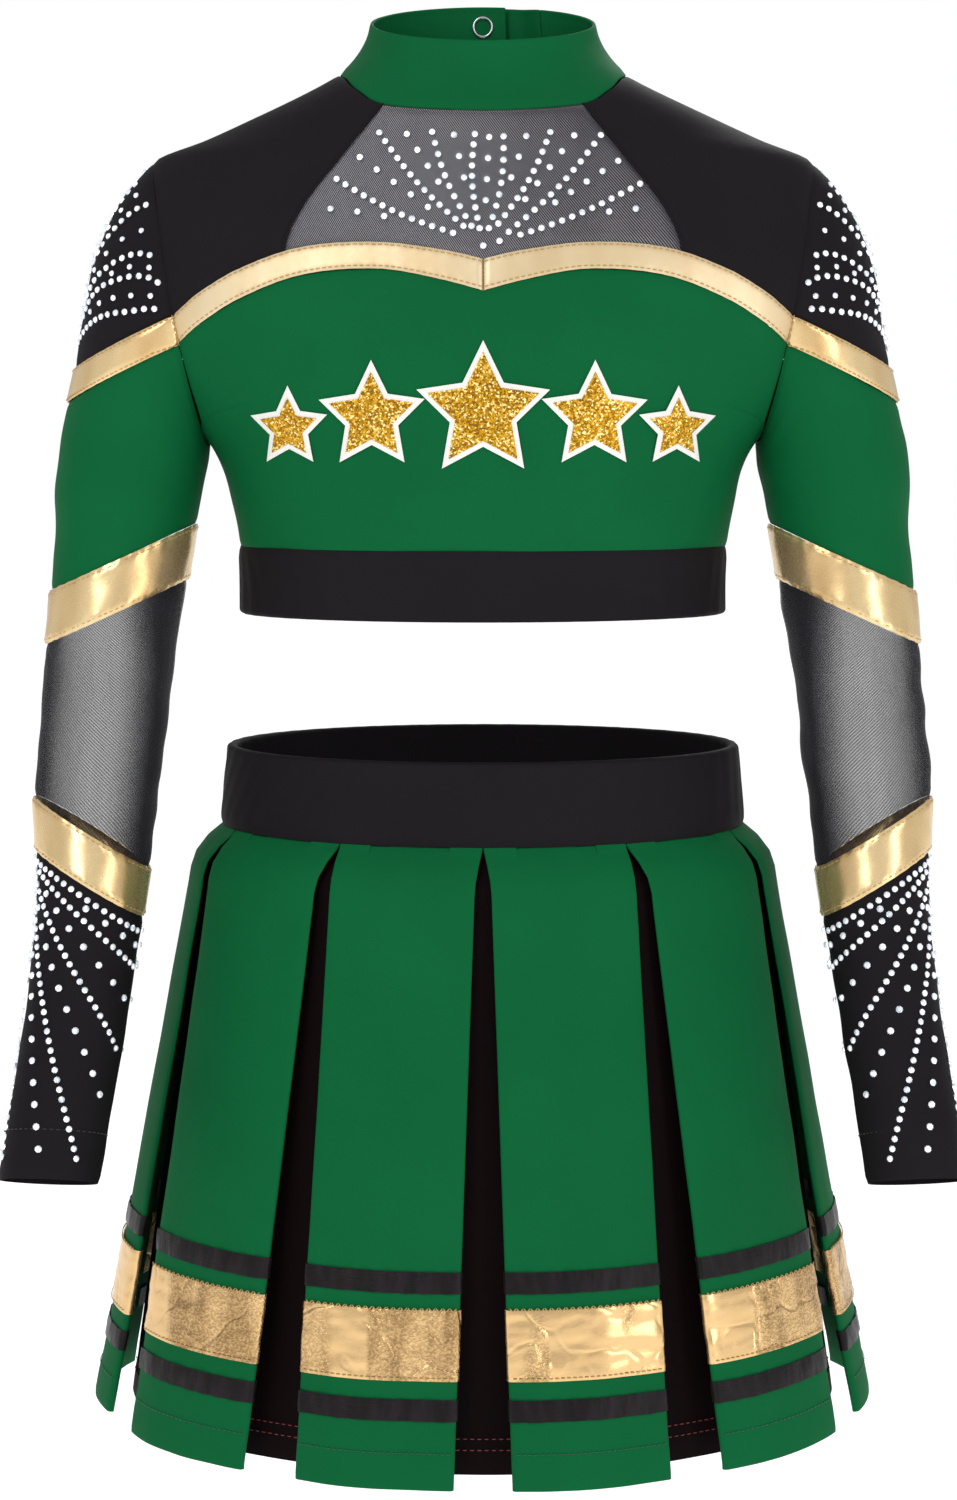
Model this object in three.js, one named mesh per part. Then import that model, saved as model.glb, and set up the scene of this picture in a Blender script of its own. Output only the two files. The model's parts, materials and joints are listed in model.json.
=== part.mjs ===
// Child's two-piece cheer uniform: a cropped long-sleeved top and a box-pleated skirt.
// Millimetres, +Z up, the front faces -Y, and the wearer's left is +X.
// The origin is the middle of the neck, level with the high points of the shoulders.
// Every cloth piece is a thin shell on one of five smooth surfaces: torso, collar, sleeve, waist and skirt.
import * as THREE from 'three';
import { mergeVertices } from 'three/addons/utils/BufferGeometryUtils.js';

// ---- cloth and fits -------------------------------------------------------------------------
const CLOTH = 1.2;
const DOUBLE_CLOTH = 1.6;
const SEAM_GAP = 0.4;
const LAYER_GAP = 0.5;
const ARMHOLE_EASE = 1.6;

// ---- top: body ------------------------------------------------------------------------------
const NECK_HALF_WIDTH = 66;
const SHOULDER_HALF_WIDTH = 150;
const SHOULDER_DROP = 38;
const ARMPIT_HALF_WIDTH = 127;
const ARMPIT_DROP = 165;
const CHEST_HALF_WIDTH = 178;
const BAND_HALF_WIDTH = 113;
const CHEST_HALF_DEPTH = 80;
const NECK_HALF_DEPTH = 51;
const BAND_HALF_DEPTH = 72;
const TOP_LENGTH = 244;
const BAND_HEIGHT = 31;
const BAND_ELASTIC_HEIGHT = 24;

// ---- neckline and collar --------------------------------------------------------------------
const NECK_FRONT_DROP = 22;
const NECK_BACK_RISE = 6;
const COLLAR_TOP_HALF_WIDTH = 51.5;
const COLLAR_TOP_HALF_DEPTH = 44;
const COLLAR_FRONT_TOP = 10;
const COLLAR_BACK_TOP = 39;
const COLLAR_FLARE = 1.9;
const COLLAR_UNDERLAP = 11;
const TAB_START = THREE.MathUtils.degToRad(148);
const TAB_RISE_END = THREE.MathUtils.degToRad(162);
const TAB_STAND_OFF = 4.0;

// ---- snap -----------------------------------------------------------------------------------
const SNAP_BELOW_TOP = 0.28;
const SNAP_RING_RADIUS = 5;
const SNAP_RING_WIRE = 1.3;
const SNAP_RING_HEIGHT = 0.8;
const SNAP_SOCKET_RADIUS = 4.2;
const SNAP_STUD_RADIUS = 1.7;
const SNAP_STUD_BASE = 0.6;
const SNAP_CLEARANCE = 0.3;

// ---- yoke, binding and keyhole --------------------------------------------------------------
const YOKE_HALF_WIDTH_AT_NECK = 44;
const YOKE_HALF_WIDTH_AT_BINDING = 87;
const BACK_YOKE_NECK_SHARE = 0.78;
const SHOULDER_SEAM_SHARE = 0.36;
const BINDING_AT_ARMHOLE = 108;
const BINDING_WIDTH = 13.5;
const BINDING_NARROWEST_SHARE = 0.85;
// The front binding's arch: a share of the way out to the armhole, and the rise above its height there.
const BINDING_ARCH = [
  [-0.13, 16],
  [0, 21],
  [0.13, 25],
  [0.34, 28.5],
  [0.58, 26.5],
  [0.78, 17.5],
  [0.9, 8.5],
  [1.06, -5],
];
const BACK_BINDING_AT_CENTRE = 92;
const KEYHOLE_DEPTH = 62;
const KEYHOLE_EDGE_SHARE = 0.68;
const KEYHOLE_HALF_WIDTH = 17;
const KEYHOLE_NECK_HALF_WIDTH = 6;
const KEYHOLE_BINDING_WIDTH = 4;

// ---- stars ----------------------------------------------------------------------------------
const STAR_RADII = [15, 21, 27, 21, 15];
const STAR_SPACE = 2.4;
const STAR_INNER_SHARE = 0.5;
const STAR_ROW_DROP = 152;
const STAR_ROW_ARCH = 9;
const STAR_THICKNESS = 0.6;

// ---- sleeve ---------------------------------------------------------------------------------
const SLEEVE_DROP = 328;
const WRIST_INNER_X = 166.5;
const BICEPS_WIDTH = 64.8;
const ELBOW_WIDTH = 56.5;
const WRIST_WIDTH = 45;
const ARMHOLE_HALF_DEPTH = 47;
const BICEPS_HALF_DEPTH = 35;
const WRIST_HALF_DEPTH = 22.5;
const WRIST_FORWARD = 87;
const SLEEVE_LEAN = 0.035;
const UPPER_STRIP_AT_INNER = 202;
const UPPER_STRIP_INNER_X = 132;
const UPPER_STRIP_WIDTH = 23.5;
const LOWER_STRIP_AT_OUTER = 327;
const LOWER_STRIP_OUTER_X = 205;
const LOWER_STRIP_WIDTH = 23;
const STRIP_SLOPE = 0.455;
const LOWER_STRIP_SLOPE = -0.6;
const UPPER_STRIP_TILT = -0.02;
const LOWER_STRIP_TILT = 0.15;

// ---- skirt ----------------------------------------------------------------------------------
const WAIST_TOP = -305;
const WAISTBAND_HEIGHT = 37;
const WAIST_HALF_WIDTH = 119.5;
const WAIST_HALF_DEPTH = 78;
const WAISTBAND_FLARE = 4;
const WAIST_ELASTIC_HEIGHT = 30;
const HIP_HALF_WIDTH = 138;
const HIP_HALF_DEPTH = 93;
const HIP_DROP = 22;
const HEM_HALF_WIDTH = 184;
const HEM_HALF_DEPTH = 124;
const SKIRT_LENGTH = 278;
const PLEAT_COUNT = 10;
const PANEL_HEM_WIDTH = 72;
const INSET_TOP_WIDTH = 46;
const INSET_HEM_WIDTH = 84;
const INSET_TOP_DEPTH = 3;
const INSET_HEM_DEPTH = 12;
const INSET_SHORTER = 4;

// ---- helpers --------------------------------------------------------------------------------
const { lerp, degToRad, smoothstep, clamp } = THREE.MathUtils;

/** Smooth curve through [x, y] stations with x rising, level at both ends. */
function smooth(stations) {
  const last = stations.length - 1;
  const slopes = stations.map((station, i) => {
    if (i === 0 || i === last) return 0;
    const before = stations[i - 1];
    const after = stations[i + 1];
    return (after[1] - before[1]) / (after[0] - before[0]);
  });
  return (x) => {
    const at = clamp(x, stations[0][0], stations[last][0]);
    let i = 0;
    while (i < last - 1 && at > stations[i + 1][0]) i += 1;
    const [x0, y0] = stations[i];
    const [x1, y1] = stations[i + 1];
    const span = x1 - x0;
    const t = (at - x0) / span;
    const rise = t * t * (3 - 2 * t);
    const leave = t * (1 - t) * (1 - t) * span * slopes[i];
    const arrive = t * t * (t - 1) * span * slopes[i + 1];
    return lerp(y0, y1, rise) + leave + arrive;
  };
}

/** Where a falling function of t crosses zero in [low, high]. */
function crossing(f, low, high) {
  let a = low;
  let b = high;
  for (let k = 0; k < 40; k += 1) {
    const middle = (a + b) / 2;
    if (f(middle) > 0) a = middle;
    else b = middle;
  }
  return (a + b) / 2;
}

/** Outward unit normal of a surface point(a, b), away from the surface's own centre(a, b). */
function surfaceNormal(surface, a, b) {
  const step = surface.step;
  const along = surface.point(a + step[0], b).sub(surface.point(a - step[0], b));
  const down = surface.point(a, b + step[1]).sub(surface.point(a, b - step[1]));
  const normal = along.cross(down).normalize();
  const outwards = surface.point(a, b).sub(surface.centre(a, b));
  return normal.dot(outwards) < 0 ? normal.negate() : normal;
}

/** Turns loose corner triples into a closed geometry whose faces point outwards. */
function closedGeometry(corners) {
  const loose = new THREE.BufferGeometry();
  const flat = corners.flatMap((corner) => corner.toArray());
  loose.setAttribute('position', new THREE.Float32BufferAttribute(flat, 3));
  const merged = mergeVertices(loose, 1e-3);
  const position = merged.getAttribute('position');
  const index = merged.getIndex().array;
  const faces = [];
  let volume = 0;
  const [p, q, r] = [new THREE.Vector3(), new THREE.Vector3(), new THREE.Vector3()];
  for (let k = 0; k < index.length; k += 3) {
    const [i, j, l] = [index[k], index[k + 1], index[k + 2]];
    if (i === j || j === l || l === i) continue;
    faces.push([i, j, l]);
    p.fromBufferAttribute(position, i);
    q.fromBufferAttribute(position, j);
    r.fromBufferAttribute(position, l);
    volume += p.dot(q.cross(r));
  }
  const outward = volume < 0 ? faces.map(([i, j, l]) => [i, l, j]) : faces;
  merged.setIndex(outward.flat());
  merged.computeVertexNormals();
  return merged;
}

/**
 * A closed shell on a surface. map(u, v) gives the surface's own coordinates of a point of the patch,
 * stand is how far its outer face stands off the surface, and thickness is measured inwards from there.
 */
function shell(surface, map, columns, rows, { thickness = CLOTH, stand = 0, loop = false, side = 1 } = {}) {
  const place = (point) => point.setX(point.x * side);
  const outer = [];
  const inner = [];
  for (let i = 0; i <= columns; i += 1) {
    outer.push([]);
    inner.push([]);
    for (let j = 0; j <= rows; j += 1) {
      const u = loop && i === columns ? 0 : i / columns;
      const [a, b] = map(u, j / rows);
      const normal = surfaceNormal(surface, a, b);
      const point = surface.point(a, b);
      outer[i].push(place(point.clone().addScaledVector(normal, stand)));
      inner[i].push(place(point.clone().addScaledVector(normal, stand - thickness)));
    }
  }
  const corners = [];
  const quad = (p, q, r, s) => corners.push(p, q, r, p, r, s);
  for (let i = 0; i < columns; i += 1) {
    for (let j = 0; j < rows; j += 1) {
      quad(outer[i][j], outer[i + 1][j], outer[i + 1][j + 1], outer[i][j + 1]);
      quad(inner[i][j], inner[i][j + 1], inner[i + 1][j + 1], inner[i + 1][j]);
    }
    quad(outer[i + 1][0], outer[i][0], inner[i][0], inner[i + 1][0]);
    quad(outer[i][rows], outer[i + 1][rows], inner[i + 1][rows], inner[i][rows]);
  }
  for (let j = 0; j < rows && !loop; j += 1) {
    quad(outer[0][j], outer[0][j + 1], inner[0][j + 1], inner[0][j]);
    quad(outer[columns][j + 1], outer[columns][j], inner[columns][j], inner[columns][j + 1]);
  }
  return closedGeometry(corners);
}

/** A patch of a surface between four boundary curves, in the surface's own coordinates. */
function coons(top, bottom, left, right) {
  return (u, v) => [0, 1].map((k) => {
    const across = lerp(top(u)[k], bottom(u)[k], v);
    const along = lerp(left(v)[k], right(v)[k], u);
    const upper = lerp(top(0)[k], top(1)[k], u);
    const lower = lerp(bottom(0)[k], bottom(1)[k], u);
    return across + along - lerp(upper, lower, v);
  });
}

/** A patch ruled between two curves, in the surface's own coordinates. */
function ruled(top, bottom) {
  return (u, v) => [0, 1].map((k) => lerp(top(u)[k], bottom(u)[k], v));
}

/** A ring swept round an oval surface: section holds [stand, height] corners. */
function ringOf(surface, section, columns) {
  const corners = [];
  const at = (i, [stand, height]) => {
    const angle = 2 * Math.PI * (i % columns) / columns;
    return surface.point(angle, height).addScaledVector(surfaceNormal(surface, angle, height), stand);
  };
  for (let i = 0; i < columns; i += 1) {
    section.forEach((corner, k) => {
      const next = section[(k + 1) % section.length];
      const [p, q, r, s] = [at(i, corner), at(i + 1, corner), at(i + 1, next), at(i, next)];
      corners.push(p, q, r, p, r, s);
    });
  }
  return closedGeometry(corners);
}

const FINISHES = {
  green_knit: { color: 0x0d6a3e, roughness: 0.75 },
  black_knit: { color: 0x242224, roughness: 0.75 },
  gold_foil: { color: 0xc99d58, roughness: 0.35, metalness: 0.85 },
  sheer_net: { color: 0x55535a, roughness: 0.8 },
  glitter: { color: 0xdcae2e, roughness: 0.4, metalness: 0.7 },
  elastic: { color: 0xe8e6e0, roughness: 0.9 },
  snap_metal: { color: 0xc8ccce, roughness: 0.25, metalness: 1 },
};

const uniform = new THREE.Group();

function add(name, finish, geometry, holder = uniform) {
  const mesh = new THREE.Mesh(geometry, new THREE.MeshStandardMaterial(FINISHES[finish]));
  mesh.name = name;
  holder.add(mesh);
  return mesh;
}

// ---- torso ----------------------------------------------------------------------------------
const bandTop = -TOP_LENGTH + BAND_HEIGHT;
const torsoHalfWidth = smooth([
  [-TOP_LENGTH, BAND_HALF_WIDTH],
  [bandTop, BAND_HALF_WIDTH + 0.5],
  [lerp(-ARMPIT_DROP, bandTop, 0.55), lerp(BAND_HALF_WIDTH, ARMPIT_HALF_WIDTH, 0.32)],
  [lerp(-ARMPIT_DROP, bandTop, 0.25), lerp(BAND_HALF_WIDTH, ARMPIT_HALF_WIDTH, 0.56)],
  [-ARMPIT_DROP, ARMPIT_HALF_WIDTH],
  [lerp(-ARMPIT_DROP, -SHOULDER_DROP, 0.13), lerp(ARMPIT_HALF_WIDTH, CHEST_HALF_WIDTH, 0.3)],
  [lerp(-ARMPIT_DROP, -SHOULDER_DROP, 0.28), lerp(ARMPIT_HALF_WIDTH, CHEST_HALF_WIDTH, 0.67)],
  [lerp(-ARMPIT_DROP, -SHOULDER_DROP, 0.48), CHEST_HALF_WIDTH],
  [lerp(-ARMPIT_DROP, -SHOULDER_DROP, 0.67), CHEST_HALF_WIDTH],
  [lerp(-ARMPIT_DROP, -SHOULDER_DROP, 0.85), lerp(SHOULDER_HALF_WIDTH, CHEST_HALF_WIDTH, 0.55)],
  [-SHOULDER_DROP, SHOULDER_HALF_WIDTH],
  [-SHOULDER_DROP * 0.76, lerp(NECK_HALF_WIDTH, SHOULDER_HALF_WIDTH, 0.73)],
  [-SHOULDER_DROP * 0.4, lerp(NECK_HALF_WIDTH, SHOULDER_HALF_WIDTH, 0.36)],
  [-SHOULDER_DROP * 0.1, lerp(NECK_HALF_WIDTH, SHOULDER_HALF_WIDTH, 0.08)],
  [1, NECK_HALF_WIDTH],
  [20, NECK_HALF_WIDTH * 0.85],
]);
const torsoHalfDepth = smooth([
  [-TOP_LENGTH, BAND_HALF_DEPTH],
  [bandTop, BAND_HALF_DEPTH + 2],
  [-ARMPIT_DROP, CHEST_HALF_DEPTH - 1],
  [lerp(-ARMPIT_DROP, -SHOULDER_DROP, 0.45), CHEST_HALF_DEPTH],
  [-SHOULDER_DROP, lerp(NECK_HALF_DEPTH, CHEST_HALF_DEPTH, 0.42)],
  [-NECK_FRONT_DROP, lerp(NECK_HALF_DEPTH, CHEST_HALF_DEPTH, 0.28)],
  [0, NECK_HALF_DEPTH],
  [20, NECK_HALF_DEPTH * 0.9],
]);

const torso = {
  step: [1e-3, 0.05],
  point: (angle, z) => new THREE.Vector3(
    torsoHalfWidth(z) * Math.sin(angle),
    -torsoHalfDepth(z) * Math.cos(angle),
    z,
  ),
  centre: (angle, z) => new THREE.Vector3(0, 0, z),
};

/** The armhole lies in a plane that leans in towards the armpit. */
const armholeX = (z) => THREE.MathUtils.mapLinear(
  z, -ARMPIT_DROP, -SHOULDER_DROP, ARMPIT_HALF_WIDTH, SHOULDER_HALF_WIDTH,
);

/** How far round the torso reaches at a height: the armhole's edge, or the side seam. */
function reach(z) {
  if (z <= -ARMPIT_DROP || z >= -SHOULDER_DROP) return Math.PI / 2;
  return Math.asin(Math.min(armholeX(z) / torsoHalfWidth(z), 1));
}

/** Torso coordinates of the point at x and z, on the front or the back. */
function torsoAt(x, z, back = false) {
  const angle = Math.asin(clamp(x / torsoHalfWidth(z), -1, 1));
  return [back ? Math.PI - angle : angle, z];
}

const necklineHeight = smooth([
  [0, -NECK_FRONT_DROP],
  [degToRad(25), -NECK_FRONT_DROP * 0.84],
  [degToRad(40), -NECK_FRONT_DROP * 0.5],
  [degToRad(60), -NECK_FRONT_DROP * 0.16],
  [degToRad(90), 1],
  [degToRad(130), lerp(1, NECK_BACK_RISE, 0.6)],
  [Math.PI, NECK_BACK_RISE],
]);
const neckline = (angle) => [angle, necklineHeight(Math.abs(angle))];

const armholeBindingX = armholeX(-BINDING_AT_ARMHOLE);
const bindingReach = armholeBindingX * BINDING_ARCH.at(-1)[0];
const bindingTop = smooth(
  BINDING_ARCH.map(([share, rise]) => [armholeBindingX * share, rise - BINDING_AT_ARMHOLE]),
);
const bindingDepth = smooth([
  [0, BINDING_WIDTH],
  [armholeBindingX * 0.34, BINDING_WIDTH * BINDING_NARROWEST_SHARE],
  [armholeBindingX, BINDING_WIDTH],
]);
const backBindingTop = smooth([
  [0, -BACK_BINDING_AT_CENTRE],
  [armholeBindingX * 0.5, lerp(-BACK_BINDING_AT_CENTRE, -BINDING_AT_ARMHOLE, 0.25)],
  [armholeBindingX * 0.8, lerp(-BACK_BINDING_AT_CENTRE, -BINDING_AT_ARMHOLE, 0.68)],
  [bindingReach, -BINDING_AT_ARMHOLE - 1],
]);

/** Edge of the gold binding at share u of the way from the centre to the armhole. */
function bindingLine(back, drop) {
  const top = back ? backBindingTop : bindingTop;
  return (u) => {
    const height = (x) => top(Math.abs(x)) - drop(Math.abs(x));
    const limit = crossing((x) => armholeX(height(x)) - x, 0, bindingReach);
    const x = u * limit;
    return torsoAt(x, height(x), back);
  };
}

const none = () => 0;
const gap = () => SEAM_GAP;
const underBinding = (x) => bindingDepth(x) + SEAM_GAP;
const frontYokeEdge = bindingLine(false, none);
const frontBindingTop = bindingLine(false, gap);
const frontBindingBottom = bindingLine(false, bindingDepth);
const frontBodiceTop = bindingLine(false, underBinding);
const backYokeEdge = bindingLine(true, none);
const backBindingUpper = bindingLine(true, gap);
const backBindingLower = bindingLine(true, bindingDepth);
const backBodiceTop = bindingLine(true, underBinding);

/** Raglan seam between the neckline (v = 0) and the binding (v = 1), shifted by a number of mm. */
function raglanSeam(back, shift) {
  const binding = back ? backBindingTop : bindingTop;
  const neckX = YOKE_HALF_WIDTH_AT_NECK * (back ? BACK_YOKE_NECK_SHARE : 1);
  const line = smooth([
    [-0.3, lerp(neckX, YOKE_HALF_WIDTH_AT_BINDING, -0.34)],
    [0, neckX],
    [0.36, lerp(neckX, YOKE_HALF_WIDTH_AT_BINDING, 0.43)],
    [0.69, lerp(neckX, YOKE_HALF_WIDTH_AT_BINDING, 0.82)],
    [1, YOKE_HALF_WIDTH_AT_BINDING],
  ]);
  const turnedBack = (angle) => (back ? Math.PI - angle : angle);
  const short = (angle) => {
    const x = torsoHalfWidth(neckline(turnedBack(angle))[1]) * Math.sin(angle);
    return neckX + shift - x;
  };
  const neckZ = neckline(turnedBack(crossing(short, 0, Math.PI / 3)))[1];
  const endX = YOKE_HALF_WIDTH_AT_BINDING + shift;
  return (v) => torsoAt(line(v) + shift, lerp(neckZ, binding(endX), v), back);
}

const mirrorCurve = (curve) => (v) => {
  const [angle, z] = curve(v);
  return [-angle, z];
};

function addYokeAndShoulders() {
  const seam = raglanSeam(false, -SEAM_GAP / 2);
  const yokeNeckAngle = seam(0)[0];
  const yokeEndX = YOKE_HALF_WIDTH_AT_BINDING - SEAM_GAP / 2;
  const yokeBottom = (u) => {
    const x = lerp(-yokeEndX, yokeEndX, u);
    return torsoAt(x, bindingTop(Math.abs(x)));
  };
  const yokeTop = (u) => neckline(lerp(-yokeNeckAngle, yokeNeckAngle, u));
  add('mesh_yoke', 'sheer_net', shell(torso, coons(yokeTop, yokeBottom, mirrorCurve(seam), seam), 14, 9));

  const frontSeam = raglanSeam(false, SEAM_GAP / 2);
  const backSeam = raglanSeam(true, SEAM_GAP / 2);
  const frontJunction = frontYokeEdge(1);
  const backJunction = backYokeEdge(1);
  const middle = 0.5;
  const seamShare = SHOULDER_SEAM_SHARE;
  const armholeEdge = (u) => {
    const back = u > middle;
    const share = back ? (1 - u) / middle : u / middle;
    const z = lerp((back ? backJunction : frontJunction)[1], -SHOULDER_DROP, Math.sin(share * Math.PI / 2));
    return [back ? Math.PI - reach(z) : reach(z), z];
  };
  const outerEdge = (u) => {
    if (u < seamShare) return frontSeam(1 - u / seamShare);
    if (u > 1 - seamShare) return backSeam(1 - (1 - u) / seamShare);
    return neckline(lerp(frontSeam(0)[0], backSeam(0)[0], (u - seamShare) / (1 - 2 * seamShare)));
  };
  const lowEdge = (edge, end, top, back) => (v) => {
    const x = lerp(torso.point(...edge(1)).x, torso.point(...end).x, v);
    return torsoAt(x, top(x), back);
  };
  const frontLow = lowEdge(frontYokeEdge, frontSeam(1), bindingTop, false);
  const backLow = lowEdge(backYokeEdge, backSeam(1), backBindingTop, true);
  const patch = coons(armholeEdge, outerEdge, frontLow, backLow);
  for (const [name, side] of [['left', 1], ['right', -1]]) {
    add(`shoulder_panel_${name}`, 'black_knit', shell(torso, patch, 25, 4, { side }));
  }
}

/** Keyhole outline from its round bottom (0) up one side to the neckline (1), drawn in by an inset. */
function keyholeOutline(share, inset) {
  const roundZ = -KEYHOLE_DEPTH + KEYHOLE_HALF_WIDTH;
  if (share < 0.5) {
    const swing = share * Math.PI;
    const radius = KEYHOLE_HALF_WIDTH - inset;
    return { x: radius * Math.sin(swing), z: roundZ - radius * Math.cos(swing) };
  }
  const z = lerp(roundZ, NECK_BACK_RISE, share * 2 - 1);
  const halfWidth = lerp(KEYHOLE_HALF_WIDTH, KEYHOLE_NECK_HALF_WIDTH, smoothstep(z, roundZ, NECK_BACK_RISE));
  return { x: halfWidth - inset, z };
}

function addBackYoke() {
  const seam = raglanSeam(true, -SEAM_GAP / 2);
  const hole = KEYHOLE_EDGE_SHARE;
  const centreEdge = (v) => {
    if (v < hole) {
      const { x, z } = keyholeOutline(1 - v / hole, 0);
      return torsoAt(Math.max(x, SEAM_GAP / 2), z, true);
    }
    const z = lerp(-KEYHOLE_DEPTH, -BACK_BINDING_AT_CENTRE, (v - hole) / (1 - hole));
    return torsoAt(SEAM_GAP / 2, z, true);
  };
  const top = (u) => neckline(lerp(seam(0)[0], centreEdge(0)[0], u));
  const bottomStart = torso.point(...seam(1)).x;
  const bottom = (u) => {
    const x = lerp(bottomStart, SEAM_GAP / 2, u);
    return torsoAt(x, backBindingTop(x), true);
  };
  for (const [name, side] of [['left', 1], ['right', -1]]) {
    add(`back_yoke_${name}`, 'black_knit', shell(torso, coons(top, bottom, seam, centreEdge), 4, 18, { side }));
  }
  const keyholeEdge = (inset) => (u) => {
    const { x, z } = keyholeOutline(Math.abs(2 * u - 1), inset);
    return torsoAt(u < 0.5 ? -x : x, z, true);
  };
  const binding = ruled(keyholeEdge(SEAM_GAP), keyholeEdge(SEAM_GAP + KEYHOLE_BINDING_WIDTH));
  add('keyhole_binding', 'black_knit', shell(torso, binding, 24, 1, { thickness: DOUBLE_CLOTH }));
}

function addBindings() {
  const centreGap = SEAM_GAP / 2 / armholeBindingX;
  const patch = ruled(
    (u) => frontBindingTop(lerp(centreGap, 1, u)),
    (u) => frontBindingBottom(lerp(centreGap, 1, u)),
  );
  for (const [name, side] of [['left', 1], ['right', -1]]) {
    add(`front_binding_${name}`, 'gold_foil', shell(torso, patch, 12, 1, { side }));
  }
  const across = (line) => (u) => {
    const [angle, z] = line(Math.abs(2 * u - 1));
    return [u < 0.5 ? 2 * Math.PI - angle : angle, z];
  };
  const back = ruled(across(backBindingUpper), across(backBindingLower));
  add('back_binding', 'gold_foil', shell(torso, back, 24, 1));
}

function addBodice() {
  const bottomZ = bandTop + SEAM_GAP;
  const sideGap = SEAM_GAP / 2 / BAND_HALF_DEPTH;
  const sideEdge = (line, back) => (v) => {
    const z = lerp(line(1)[1], bottomZ, v);
    const angle = Math.min(reach(z), Math.PI / 2 - sideGap);
    return [back ? Math.PI - angle : angle, z];
  };
  const widthwise = (line) => (u) => {
    const [angle, z] = line(Math.abs(2 * u - 1));
    return [u < 0.5 ? -angle : angle, z];
  };
  const bottom = (u) => [lerp(-1, 1, u) * (Math.PI / 2 - sideGap), bottomZ];
  const frontSide = sideEdge(frontBodiceTop, false);
  const front = coons(widthwise(frontBodiceTop), bottom, mirrorCurve(frontSide), frontSide);
  add('front_bodice', 'green_knit', shell(torso, front, 20, 7));

  const backEdge = (u) => {
    const [angle, z] = backBodiceTop(Math.abs(2 * u - 1));
    return [u < 0.5 ? 2 * Math.PI - angle : angle, z];
  };
  const backBottom = (u) => [lerp(1.5 * Math.PI - sideGap, Math.PI / 2 + sideGap, u), bottomZ];
  const backSide = sideEdge(backBodiceTop, true);
  const farSide = (v) => {
    const [angle, z] = backSide(v);
    return [2 * Math.PI - angle, z];
  };
  add('back_bodice', 'green_knit', shell(torso, coons(backEdge, backBottom, farSide, backSide), 20, 7));
}

/** Section of a band folded round an elastic: open at one end, folded at the other. */
function foldedBand(openZ, foldZ, room) {
  const fold = Math.sign(openZ - foldZ) * CLOTH;
  const innerFace = -2 * CLOTH - room;
  return [
    [0, openZ],
    [0, foldZ],
    [innerFace, foldZ],
    [innerFace, openZ],
    [innerFace + CLOTH, openZ],
    [innerFace + CLOTH, foldZ + fold],
    [-CLOTH, foldZ + fold],
    [-CLOTH, openZ],
  ];
}

/** Section of the flat elastic that lies inside a folded band. */
function elasticStrip(lowZ, height) {
  const outer = -CLOTH - LAYER_GAP;
  return [
    [outer, lowZ],
    [outer - CLOTH, lowZ],
    [outer - CLOTH, lowZ + height],
    [outer, lowZ + height],
  ];
}

const bandRoom = CLOTH + 2 * LAYER_GAP;

function addUnderbustBand() {
  add('underbust_band', 'black_knit', ringOf(torso, foldedBand(bandTop, -TOP_LENGTH, bandRoom), 36));
  const lowZ = -TOP_LENGTH + CLOTH + LAYER_GAP;
  add('underbust_elastic', 'elastic', ringOf(torso, elasticStrip(lowZ, BAND_ELASTIC_HEIGHT), 36));
}

// ---- stars ----------------------------------------------------------------------------------
const STAR_NAMES = ['star_far_right', 'star_right', 'star_centre', 'star_left', 'star_far_left'];

/** Distance from a five-pointed star's centre to its edge, at an angle from its top point. */
function starReach(angle) {
  const arm = 2 * Math.PI / 5;
  const folded = Math.abs(((angle % arm) + arm) % arm - arm / 2);
  const tip = new THREE.Vector2(1, 0);
  const notch = new THREE.Vector2(Math.cos(arm / 2), Math.sin(arm / 2)).multiplyScalar(STAR_INNER_SHARE);
  const fromTip = arm / 2 - folded;
  const edge = notch.clone().sub(tip);
  const ray = new THREE.Vector2(Math.cos(fromTip), Math.sin(fromTip));
  return tip.cross(edge) / ray.cross(edge);
}

function addStars() {
  const total = STAR_RADII.reduce((sum, radius) => sum + 2 * radius * Math.sin(2 * Math.PI / 5), 0)
    + STAR_SPACE * (STAR_RADII.length - 1);
  let left = -total / 2;
  STAR_RADII.forEach((radius, k) => {
    const halfWidth = radius * Math.sin(2 * Math.PI / 5);
    const centreX = left + halfWidth;
    const centreZ = -STAR_ROW_DROP - STAR_ROW_ARCH * (centreX / (total / 2)) ** 2;
    const patch = (u, v) => {
      const angle = 2 * Math.PI * u;
      const distance = v * radius * starReach(angle);
      return torsoAt(centreX + distance * Math.sin(angle), centreZ + distance * Math.cos(angle));
    };
    const stand = LAYER_GAP + STAR_THICKNESS;
    const options = { thickness: STAR_THICKNESS, stand, loop: true };
    add(STAR_NAMES[k], 'glitter', shell(torso, patch, 20, 2, options));
    left += 2 * halfWidth + STAR_SPACE;
  });
}

// ---- collar and snap ------------------------------------------------------------------------
const collarTop = (angle) => new THREE.Vector3(
  COLLAR_TOP_HALF_WIDTH * Math.sin(angle),
  -COLLAR_TOP_HALF_DEPTH * Math.cos(angle),
  lerp(COLLAR_BACK_TOP, COLLAR_FRONT_TOP, (1 + Math.cos(angle)) / 2),
);

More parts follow.
